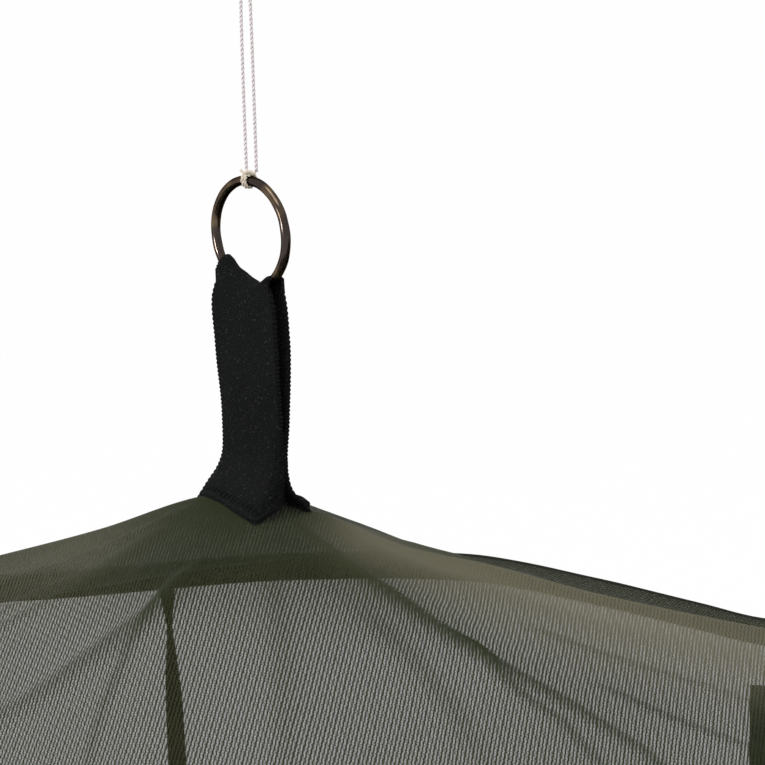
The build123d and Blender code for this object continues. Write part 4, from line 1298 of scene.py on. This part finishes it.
# %% Ripstop material
def ripstop_look(name, colour, seam_at):
    """Plain weave with a heavier yarn every 5 mm both ways, and two rows of stitches at each seam."""
    look = Look(name)
    along, across = look.cloth_uv()
    heavy_along = ((along / 0.005).math("FRACT") - 0.5).math("ABSOLUTE").above(0.40, 0.46)
    heavy_across = ((across / 0.005).math("FRACT") - 0.5).math("ABSOLUTE").above(0.40, 0.46)
    grid = heavy_along.math("MAXIMUM", heavy_across)
    weave = (along * (2 * pi / 0.0006)).math("SINE") * (across * (2 * pi / 0.0006)).math("SINE")
    from_seam = (across.math("ABSOLUTE") - seam_at).math("ABSOLUTE")
    rows = 1 - ((from_seam - 0.0032).math("ABSOLUTE")).above(0.00022, 0.00045)
    in_step = (along / 0.0034).math("FRACT")
    dashes = in_step.above(0.2, 0.28) * (1 - in_step.above(0.78, 0.86))
    stitch = rows * dashes
    seam = 1 - from_seam.above(0.0050, 0.0056)
    tone = look.speckle(9, 3)
    cloth = (tone * 0.8 + grid * 0.25).between_colours(colour, tuple(c * 1.5 for c in colour))
    cloth = (seam * 0.25).between_colours(cloth, tuple(c * 0.6 for c in colour))
    cloth = stitch.between_colours(cloth, tuple(c * 0.45 for c in colour))
    look.surface(Base_Color=cloth, Roughness=0.55 + tone * 0.12)
    look.shader.inputs["Sheen Weight"].default_value = 0.15
    look.shader.inputs["Specular IOR Level"].default_value = 0.35
    look.bump(grid * 1.2 + weave * 0.4 + stitch * 2, 0.35, 0.00012)
    return look


ripstop = ripstop_look("olive_ripstop", (0.060, 0.072, 0.034), 0.288)

# %% Bed shape
bed_half_flat, bed_seam_share = 0.64, 0.45
pleat_count = 15


def bed_low(x):
    return gather_z - gather_depth - (bed_depth - gather_depth) * fullness(x) ** 0.85


def bed_place(x, share):
    """share is -1 at the near hem and 1 at the far one."""
    half, depth = hem_out(x), hem_height(x) - 0.0064 - bed_low(x)
    radius = (half ** 2 + depth ** 2) / (2 * depth)
    angle = share * atan2(half, radius - depth)
    from_end = folded(x) - gather_x
    free = 1 - share ** 6
    pleats = 0.0042 * exp(-from_end / 0.16) * cos(pi * pleat_count * (share + 0.03 * sin(share * 9)))
    fan = noise.noise(Vector((share * 13, from_end * 1.2, 5.0))) * 0.011
    fan *= exp(-((from_end - 0.22) / 0.26) ** 2)
    slow = noise.noise(Vector((x * 2.2, share * 2.6, 8.0))) * 0.007 * min(1, from_end / 0.3)
    seam = 0.0006 * exp(-((abs(share) - bed_seam_share) * radius / 0.006) ** 2)
    inwards = 0.0005 + (pleats + fan + slow) * free + abs(pleats) * 0.3 * free - seam
    return Vector((x, (radius - inwards) * sin(angle), bed_low(x) + radius - (radius - inwards) * cos(angle)))


# %% Bed sheet
bed_us = (steps(gather_x, gather_x + 0.36, 0.006)[:-1]
          + steps(gather_x + 0.36, span - gather_x - 0.36, 0.02)[:-1]
          + steps(span - gather_x - 0.36, span - gather_x, 0.006))
bed_mesh = cloth_grid(bed_us, steps(-1, 1, 1 / 110), bed_place, lambda u, v: (u * 1.1, v * bed_half_flat))
bmesh.ops.recalc_face_normals(bed_mesh, faces=bed_mesh.faces)
bed = make_piece("gathered_bed_sheet", bed_mesh, ripstop, slot="bed_ripstop",
                 covers=["bed_near_panel", "bed_middle_panel", "bed_far_panel"])
bed_area = sum(p.area for p in bed.data.polygons)
thicken(bed, 0.0006)
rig.sheet(bed, flat=(1.28, 2.60), held="hung", rests_on=["near_hem", "far_hem"], area=2.98)
print("bed area", round(bed_area, 3), "m2, faces", len(bed.data.polygons))

# %% [markdown]
# ## Hems
# The bed's long edges are rolled round into a hem that also takes the foot of the net walls. A
# hem is a closed strip with rounded corners, whose tape is stitched along its lower side.

# %% Hems
hem_profile = [(0.0016, -0.0059), (0.0021, -0.0054), (0.0022, -0.0030), (0.0019, 0.0), (0.0022, 0.0030),
               (0.0021, 0.0054), (0.0016, 0.0060), (-0.0016, 0.0060), (-0.0021, 0.0054), (-0.0019, 0.0),
               (-0.0021, -0.0054), (-0.0016, -0.0059)]


def hem_place(side):
    def place(x, out, up):
        ruck = noise.noise(Vector((x * 45, side * 2.0, up * 80))) * 0.0005
        return Vector((x, side * (hem_out(x) + out + ruck), hem_height(x) + up))
    return place


hem_us = (steps(gather_x, gather_x + 0.3, 0.006)[:-1]
          + steps(gather_x + 0.3, span - gather_x - 0.3, 0.012)[:-1]
          + steps(span - gather_x - 0.3, span - gather_x, 0.006))
for side, name in ((-1, "near"), (1, "far")):
    strip(f"{name}_rolled_hem", hem_us, hem_profile, hem_place(side), binding, slot="binding",
          covers=[f"{name}_hem"])

# %% [markdown]
# ## End nets
# A net panel closes each end, from the rod down to the gathered cloth, so it is wide at the top
# and narrow at the bottom. It leans, so its own weight bellies it a little.

# %% End nets
end_low, end_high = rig.box("head_end_net")
end_bottom = Vector((gather_x + 0.0119, 0.028, end_low.z))
end_top = Vector((end_high.x - 0.0003, end_high.y, end_high.z))


def end_net_place(t, a):
    middle = end_bottom.lerp(end_top, t)
    belly = sin(pi * t) * (1 - a * a)
    loose = noise.noise(Vector((a * 6, t * 2, 1.0))) * 0.003 * belly
    return Vector((middle.x - 0.004 * belly + loose, middle.y * a, middle.z - 0.0015 * belly))


end_net_mesh = cloth_grid(steps(0, 1, 1 / 40), steps(-1, 1, 1 / 30), end_net_place,
                          lambda t, a: (a * end_bottom.lerp(end_top, t).y, t * 0.473))
end_net = make_piece("head_end_net_sheet", end_net_mesh, wall_net, slot="net", covers=["head_end_net"])
foot_end_net = mirrored_copy(end_net, "foot_end_net_sheet", wall_net, slot="net", covers=["foot_end_net"])
for sheet, end in ((end_net, "head"), (foot_end_net, "foot")):
    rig.sheet(sheet, flat=(0.60, 0.48), held="hung", rests_on=[f"{end}_rod_sleeve", f"{end}_gather"],
             area=0.155)
print("end net area", round(sum(p.area for p in end_net.data.polygons), 3), "m2")

# %% [markdown]
# ## Corner seams
# Each upright corner of the net is bound: one tape is folded round the edge of the end panel and
# the slanted edge of the side wall, and closes the gap between them.

# %% Corner seams
seam_lap = 0.007            # how far the tape reaches onto each panel
seam_rise = 0.0007          # how far it stands off the net


def wall_seam_x(z):
    """Where the wall's slanted edge is at height z."""
    seam_low = gather_z + seam_rise_from
    share = (z - seam_low) / (rod_z - seam_low)
    return gather_x + 0.002 + min(max(share, 0), 1) * (rod_x - gather_x - 0.002)


def corner_place(side):
    def place(t, line):
        """t runs up the corner; line counts 0..3 from the end panel round to the wall."""
        on_net = end_net_place(t, 1)
        half = end_bottom.lerp(end_top, t).y
        seam_x = wall_seam_x(on_net.z)
        wall_x = seam_x + (seam_lap if line == 3 else 0)
        share = min(max(share_at(wall_x, on_net.z), 0), 1)
        on_wall = wall_place(1)(wall_x, share)
        if line == 0:
            point = end_net_place(t, 1 - seam_lap / half) + Vector((-seam_rise, 0, 0))
        elif line == 1:
            point = on_net + Vector((-seam_rise, seam_rise * 0.6, 0))
        elif line == 2:
            point = on_wall + Vector((-seam_rise, seam_rise, 0))
        else:
            point = on_wall + Vector((0, seam_rise, 0))
        return Vector((point.x, side * point.y, on_net.z))
    return place


corner_ts = steps(0.012, 0.985, 1 / 60)
corner_strips = [cloth_grid(corner_ts, [0, 1, 2, 3], corner_place(side),
                            lambda t, line: (t * 0.473, line * 0.006)) for side in (-1, 1)]
bmesh.ops.reverse_faces(corner_strips[0], faces=corner_strips[0].faces)
corner_seams = make_piece("head_corner_seams", joined(corner_strips), binding, slot="binding")
thicken(corner_seams, 0.0006)
foot_seams = mirrored_copy(corner_seams, "foot_corner_seams", binding, slot="binding")
print("corner seam tapes:", len(corner_seams.data.polygons) + len(foot_seams.data.polygons), "faces")

# %% [markdown]
# ## Gathered ends
# At each end the cloth is bunched into a neck, tied round with cord, with its cut edge standing
# out past the tie. The skin of the bunch is a closed grid whose sections go from the wide end of
# the bed to the neck, and its pleats get narrower with it.

# %% Gathered end shape
reach_way = Vector((cos(radians(30)), 0, -sin(radians(30))))      # from the bearing point to the cloth
reach_up = Vector((sin(radians(30)), 0, cos(radians(30))))
neck_far, neck_near = 0.144, 0.110
gather_sections = [
    # (middle, half width, half height, how upright the section's plane is)
    (Vector((gather_x - 0.0002, 0, gather_z - 0.020)), 0.0450, 0.0200, 1.0),
    (reach_way * (neck_far + 0.008) + Vector((0, 0, -0.0012)), 0.0235, 0.0146, 0.35),
    (reach_way * neck_far, 0.0150, 0.0120, 0.0),
    (reach_way * (neck_near + 0.008), 0.0148, 0.0119, 0.0),
    (reach_way * (neck_near + 0.004), 0.0180, 0.0120, 0.0),
    (reach_way * neck_near, 0.0208, 0.0118, 0.0)]
round_count, gather_pleats = 264, 22


def gather_place(t, k):
    """t runs from 0 at the bed to 1 at the cut edge, and k counts places round the section."""
    spot = t * (len(gather_sections) - 1)
    i = min(int(spot), len(gather_sections) - 2)
    share = spot - i
    (m0, w0, h0, p0), (m1, w1, h1, p1) = gather_sections[i], gather_sections[i + 1]
    middle, wide, high = m0.lerp(m1, share), w0 + (w1 - w0) * share, h0 + (h1 - h0) * share
    upright = p0 + (p1 - p0) * share
    up = (Vector((0, 0, 1)) * upright + reach_up * (1 - upright)).normalized()
    angle = 2 * pi * k / round_count
    wander = 0.6 * sin(3 * angle) + 0.35 * sin(7 * angle + 1)
    pleat = 0.5 + 0.5 * cos(gather_pleats * angle + wander)
    deep = 0.13 + 0.05 * sin(5 * angle)
    out = 1 - deep * (1 - pleat ** 0.7) + 0.012 * noise.noise(Vector((angle * 4, t * 6, 0)))
    ragged = reach_way * (noise.noise(Vector((angle * 5, 3, 0))) * 0.0012) if t > 0.95 else Vector()
    return middle + ragged + Vector((0, 1, 0)) * (wide * out * cos(angle)) + up * (high * out * sin(angle))


gather_mesh = wrapped_grid(steps(0, 1, 1 / 60), round_count, gather_place,
                           lambda t, k: (t * 0.07, k * 0.0018 + 0.4))
gather = make_piece("head_gathered_cloth", gather_mesh, ripstop, slot="bed_ripstop", covers=["head_gather"])
mirrored_copy(gather, "foot_gathered_cloth", ripstop, slot="bed_ripstop", covers=["foot_gather"])

# %% [markdown]
# ## Whipping
# Black cord is wound round the neck and the loop's tape in two layers, nine turns each. Each turn
# follows a rounded rectangle, one cord's width further along than the one before.

# %% Cord material
cord_look = Look("black_cord")
cord_along, cord_round = cord_look.cloth_uv()
plait = ((cord_along * 0.5 + cord_round * 0.25).math("FRACT") - 0.5).math("ABSOLUTE")
plait = plait.math("MAXIMUM", ((cord_along * 0.5 - cord_round * 0.25).math("FRACT") - 0.5).math("ABSOLUTE"))
lightness = cord_look.speckle(900, 3)
cord_look.surface(Base_Color=(lightness * 0.6 + plait * 0.4).between_colours((0.008, 0.008, 0.008),
                                                                             (0.026, 0.026, 0.025)),
                  Roughness=0.7)
cord_look.shader.inputs["Specular IOR Level"].default_value = 0.25
cord_look.bump(plait * 1.5 + lightness * 0.4, 0.6, 0.0002)

# %% Whipping
cord_radius, corner_radius = 0.001, 0.004
inside_wide, inside_high = 0.0165, 0.0148


def winding_turn(away):
    """One turn round the neck: (across, up) places, away from the inside of the winding."""
    places = []
    for corner in range(4):
        middle_wide = (inside_wide - corner_radius) * (1 if corner in (0, 3) else -1)
        middle_high = (inside_high - corner_radius) * (1 if corner in (0, 1) else -1)
        for step in range(5):
            angle = pi / 2 * (corner + step / 4)
            places.append((middle_wide + (corner_radius + away) * cos(angle),
                           middle_high + (corner_radius + away) * sin(angle)))
    return places


whipping_mesh = bmesh.new()
whipping_uv = whipping_mesh.loops.layers.uv.new("cloth")
for away in (cord_radius, 3 * cord_radius):
    turn_places = winding_turn(away)
    line = []
    for k in range(9 * len(turn_places) + 1):
        wide, high = turn_places[k % len(turn_places)]
        along = 0.119 + cord_radius + 2 * cord_radius * k / len(turn_places)
        line.append(reach_way * along + Vector((0, wide, 0)) + reach_up * high)
    tube_along(whipping_mesh, even_line(line, 0.0011)[0], cord_radius, 8, whipping_uv)
bmesh.ops.recalc_face_normals(whipping_mesh, faces=whipping_mesh.faces)
whipping = make_piece("head_whipping_cord", whipping_mesh, cord_look, slot="whipping_cord",
                      covers=["head_whipping"])
mirrored_copy(whipping, "foot_whipping_cord", cord_look, slot="whipping_cord", covers=["foot_whipping"])

# %% [markdown]
# ## End loops
# The loop at each end is one length of webbing, 13 mm wide. Its two ends lie under the whipping,
# above and below the bunched cloth, and its eye goes round the carabiner's bar. A grid follows
# that line, and gets its thickness from a modifier.

# %% Webbing material
webbing_look = Look("black_webbing")
web_along, web_across = webbing_look.cloth_uv()
zigzag = ((web_across / 0.0032).math("FRACT") - 0.5).math("ABSOLUTE") * 2
twill = ((web_along / 0.0014 + zigzag).math("FRACT") - 0.5).math("ABSOLUTE") * 2
web_tone = webbing_look.speckle(700, 2)
webbing_look.surface(Base_Color=(twill * 0.6 + web_tone * 0.4).between_colours((0.007, 0.007, 0.007),
                                                                               (0.024, 0.024, 0.023)),
                     Roughness=0.75)
webbing_look.shader.inputs["Specular IOR Level"].default_value = 0.3
webbing_look.bump(twill, 0.7, 0.0003)

# %% End loops
tape_leg, eye_radius = 0.0134, 0.007
loop_line = [(0.140, tape_leg), (0.125, tape_leg), (0.1105, tape_leg - 0.0001), (0.100, 0.01270)]
loop_line += [(0.100 * (1 - k / 8), 0.01270 + (eye_radius - 0.01270) * k / 8) for k in range(1, 8)]
loop_line += [(-eye_radius * sin(pi * k / 16), eye_radius * cos(pi * k / 16)) for k in range(17)]
loop_line += [(along, -up) for along, up in reversed(loop_line[:11])]
loop_points, loop_length = even_line([reach_way * along + reach_up * up for along, up in loop_line], 0.002)


def loop_place(i, a):
    edge_curl = 0.0003 * a ** 4
    before, after = loop_points[max(i - 1, 0)], loop_points[min(i + 1, len(loop_points) - 1)]
    normal = (after - before).cross(Vector((0, 1, 0))).normalized()
    return loop_points[i] + Vector((0, 0.0065 * a, 0)) + normal * edge_curl


loop_mesh = cloth_grid(list(range(len(loop_points))), steps(-1, 1, 1 / 6), loop_place,
                       lambda i, a: (i * 0.002, a * 0.0065))
end_loop = make_piece("head_webbing_end_loop", loop_mesh, webbing_look, slot="end_webbing",
                      covers=["head_end_loop"])
thicken(end_loop, 0.0018)
mirrored_copy(end_loop, "foot_webbing_end_loop", webbing_look, slot="end_webbing", covers=["foot_end_loop"])
print("end loop length", round(loop_length, 3), "m")

# %% [markdown]
# ## Carabiners, rods and caps
# These are hard parts, whose CAD shape is already right. They get their finishes here: dark
# anodised bars rubbed bright in places, steel pins, drawn fibreglass rods and moulded caps.

# %% Hard finishes
anodised = Look("dark_anodised")
rubbed = anodised.speckle(55, 4).above(0.60, 0.78)
fine_marks = anodised.speckle(900, 2)
anodised.surface(Base_Color=(rubbed * 0.35).between_colours((0.035, 0.036, 0.038), (0.40, 0.40, 0.40)),
                 Metallic=1.0,
                 Roughness=0.28 + fine_marks * 0.2)
anodised.bump(fine_marks, 0.15, 0.0001)
steel = Look("plain_steel")
drawn = steel.speckle(1600, 2)
steel.surface(Base_Color=drawn.between_colours((0.45, 0.45, 0.45), (0.60, 0.60, 0.59)), Metallic=1.0,
              Roughness=0.2 + drawn * 0.2)
fibreglass = Look("drawn_fibreglass")
squeezed = fibreglass.add("ShaderNodeMapping", None,
                          {"Vector": fibreglass.place(), "Scale": (2600, 60, 2600)})
strands = fibreglass.speckle(1.0, 2, squeezed)
fibreglass.surface(Base_Color=strands.between_colours((0.012, 0.013, 0.013), (0.05, 0.05, 0.048)),
                   Roughness=0.35 + strands * 0.15)
fibreglass.bump(strands, 0.2, 0.0001)
moulded = Look("moulded_rubber")
spark = moulded.speckle(1800, 3)
moulded.surface(Base_Color=moulded.speckle(120, 2).between_colours((0.014, 0.014, 0.014),
                                                                   (0.028, 0.028, 0.027)),
                Roughness=0.6 + spark * 0.2)
moulded.bump(spark, 0.3, 0.0001)
enamel = Look("black_enamel")
chipped = enamel.speckle(420, 4).above(0.66, 0.72)
enamel.surface(Base_Color=(chipped * 0.6).between_colours((0.010, 0.010, 0.010), (0.33, 0.31, 0.27)),
               Metallic=chipped,
               Roughness=0.3 + enamel.speckle(900, 2) * 0.15)
enamel.shader.inputs["Coat Weight"].default_value = 0.3
for end in ("head", "foot"):
    paint(anodised, f"{end}_carabiner", f"{end}_gate")
    paint(steel, f"{end}_gate_pin")
    paint(fibreglass, f"{end}_spreader_rod")
    paint(moulded, f"{end}_rod_caps")
for zip_name in ("door_upright_zip", "door_long_zip"):
    paint(enamel, f"{zip_name}_slider", f"{zip_name}_pull")

# %% [markdown]
# ## Rod sleeves
# A sleeve of binding tape holds each rod under the end of the roof. It is puckered along the rod,
# where its seam draws the cloth together.

# %% Rod sleeves
sleeve_low, sleeve_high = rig.box("head_rod_sleeve")
sleeve_middle = (sleeve_low + sleeve_high) / 2
sleeve_radius, sleeve_round = (sleeve_high.z - sleeve_low.z) / 2, 24


def sleeve_place(y, k):
    angle = 2 * pi * k / sleeve_round
    pucker = 0.0005 * noise.noise(Vector((y * 70, cos(angle) * 1.3, sin(angle) * 1.3)))
    r = sleeve_radius - 0.0004 + pucker
    return Vector((sleeve_middle.x + r * cos(angle), y, sleeve_middle.z + r * sin(angle)))


sleeve_mesh = cloth_grid(steps(sleeve_low.y, sleeve_high.y, 0.004), list(range(sleeve_round + 1)),
                         lambda y, k: sleeve_place(y, k % sleeve_round), lambda y, k: (y, k * 0.0014))
bmesh.ops.remove_doubles(sleeve_mesh, verts=sleeve_mesh.verts, dist=1e-7)
bmesh.ops.recalc_face_normals(sleeve_mesh, faces=sleeve_mesh.faces)
sleeve = make_piece("head_rod_sleeve_cloth", sleeve_mesh, binding, slot="binding", covers=["head_rod_sleeve"])
thicken(sleeve, 0.0009, -1)
mirrored_copy(sleeve, "foot_rod_sleeve_cloth", binding, slot="binding", covers=["foot_rod_sleeve"])

# %% [markdown]
# ## Zips
# Each zip is two woven tapes and a nylon coil. The coil's teeth come in turn from the left and
# from the right and cross the middle, so that no gap shows. A tooth is a short six-sided bar,
# because there are about two thousand of them.

# %% Zip material
zip_look = tape_look("zip_tape", (0.040, 0.043, 0.031), (0.075, 0.078, 0.058), 0.0107)
nylon = Look("nylon_coil")
grain = nylon.speckle(700, 2)
nylon.surface(Base_Color=grain.between_colours((0.022, 0.025, 0.016), (0.040, 0.043, 0.029)),
              Roughness=0.35 + grain * 0.2)
for zip_name in ("door_upright_zip", "door_long_zip"):
    paint(nylon, f"{zip_name}_stops")

# %% Zip tapes and teeth
wall_up = Vector((0, -wall_flare, 1)).normalized()
wall_out = Vector((0, 1, wall_flare)).normalized()
door_corner = Vector((zip_x, slope_out(zip_z) + 0.0003, zip_z))
upright_from = (upright_low.z - zip_z) / wall_up.z
zips = (("door_upright_zip", door_corner + wall_up * upright_from, wall_up,
         (upright_high.z - upright_low.z) / wall_up.z),
        ("door_long_zip", door_corner, Vector((1, 0, 0)), long_high.x - zip_x))
tape_start, tape_wide, tooth_step = 0.0006, 0.013, 0.00065


def zip_tape(start, along_zip, across_zip, length, side):
    """The flat tape on one side of a zip."""
    def place(u, a):
        ripple = 0.0002 * noise.noise(Vector((u * 60, a * 2 + side, 0)))
        out_to_side = side * (tape_start + tape_wide * a)
        return start + along_zip * u + across_zip * out_to_side + wall_out * ripple
    return cloth_grid(steps(0, length, 0.008), steps(0, 1, 1 / 6), place, lambda u, a: (u, a * tape_wide))


for zip_name, start, along_zip, length in zips:
    across_zip = wall_out.cross(along_zip)
    sides = [zip_tape(start, along_zip, across_zip, length, side) for side in (-1, 1)]
    tapes = make_piece(f"{zip_name}_woven_tapes", joined(sides), zip_look, slot="zip_tape",
                       covers=[f"{zip_name}_tapes"])
    thicken(tapes, 0.0007)
    teeth = bmesh.new()
    lay = Matrix((across_zip, wall_out, along_zip)).transposed()      # a bar lies along its third axis
    stand = lay @ Matrix(((0, 0, 1), (1, 0, 0), (0, 1, 0)))
    tooth_count = int((length - 0.0075) / tooth_step)
    for k in range(tooth_count):
        side = 1 if k % 2 else -1
        middle = start + along_zip * (0.0037 + k * tooth_step) + across_zip * (side
                                                                               * 0.0009) + wall_out * 0.0012
        bmesh.ops.create_cone(teeth, cap_ends=True, segments=6, radius1=0.00050, radius2=0.00050,
                              depth=0.0033,
                              matrix=Matrix.Translation(middle) @ stand.to_4x4())
    make_piece(f"{zip_name}_coil_teeth", teeth, nylon, slot="nylon_coil", covers=[f"{zip_name}_coils"])
    print(zip_name, "teeth", tooth_count)

# %% [markdown]
# ## Door ties
# Two ribbons hang inside the roof's edge above the door, each with a moulded toggle, to hold the
# rolled-up door. A toggle is a turned bar, thicker at its ends and waisted where the ribbon goes.

# %% Door ribbons
ribbon_low, ribbon_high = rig.box("door_tie_ribbons")
ribbon_length = ribbon_high.z - ribbon_low.z
ribbons = []
for x in (ribbon_low.x + 0.004, ribbon_high.x - 0.004):
    top = Vector((x, (ribbon_low.y + ribbon_high.y) / 2, ribbon_high.z))
    ribbons.append(hanging_tape(top, ribbon_length, lambda s: 0.0078, lambda s: 0.0,
                                lambda s: (0.0005 * sin(5 * s), 0.0004 * sin(4 * s))))
ribbon = make_piece("door_ribbons", joined(ribbons), tie_looks, slot="binding", covers=["door_tie_ribbons"])
thicken(ribbon, 0.0006)

# %% Door toggles
toggle_low, toggle_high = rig.box("door_toggles")
toggle_half = 0.012
toggle_profile = [(-toggle_half, 0.0004), (-toggle_half, 0.0022), (-0.0114, 0.0028), (-0.0100, 0.0030),
                  (-0.0060, 0.0029),
                  (-0.0035, 0.0022), (0, 0.0019), (0.0035, 0.0022), (0.0060, 0.0029), (0.0100, 0.0030),
                  (0.0114, 0.0028), (toggle_half, 0.0022), (toggle_half, 0.0004)]
toggle_mesh = bmesh.new()
for x in (toggle_low.x + toggle_half, toggle_high.x - toggle_half):
    middle = Vector((x, (toggle_low.y + toggle_high.y) / 2, (toggle_low.z + toggle_high.z) / 2))
    points = [toggle_mesh.verts.new(middle + Vector((along, 0, r))) for along, r in toggle_profile]
    edges = [toggle_mesh.edges.new(pair) for pair in zip(points, points[1:])]
    bmesh.ops.spin(toggle_mesh, geom=points + edges, cent=middle, axis=(1, 0, 0), angle=2 * pi, steps=28,
                   use_merge=True, use_duplicate=False)
bmesh.ops.holes_fill(toggle_mesh, edges=toggle_mesh.edges, sides=0)
bmesh.ops.recalc_face_normals(toggle_mesh, faces=toggle_mesh.faces)
make_piece("door_turned_toggles", toggle_mesh, moulded, slot="toggle_plastic", covers=["door_toggles"])

# %% Finish
with open("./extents.json", "w") as out:
    json.dump({"cad": [list(c) for c in cad_box], "visual": [list(c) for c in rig.bounds()]}, out)
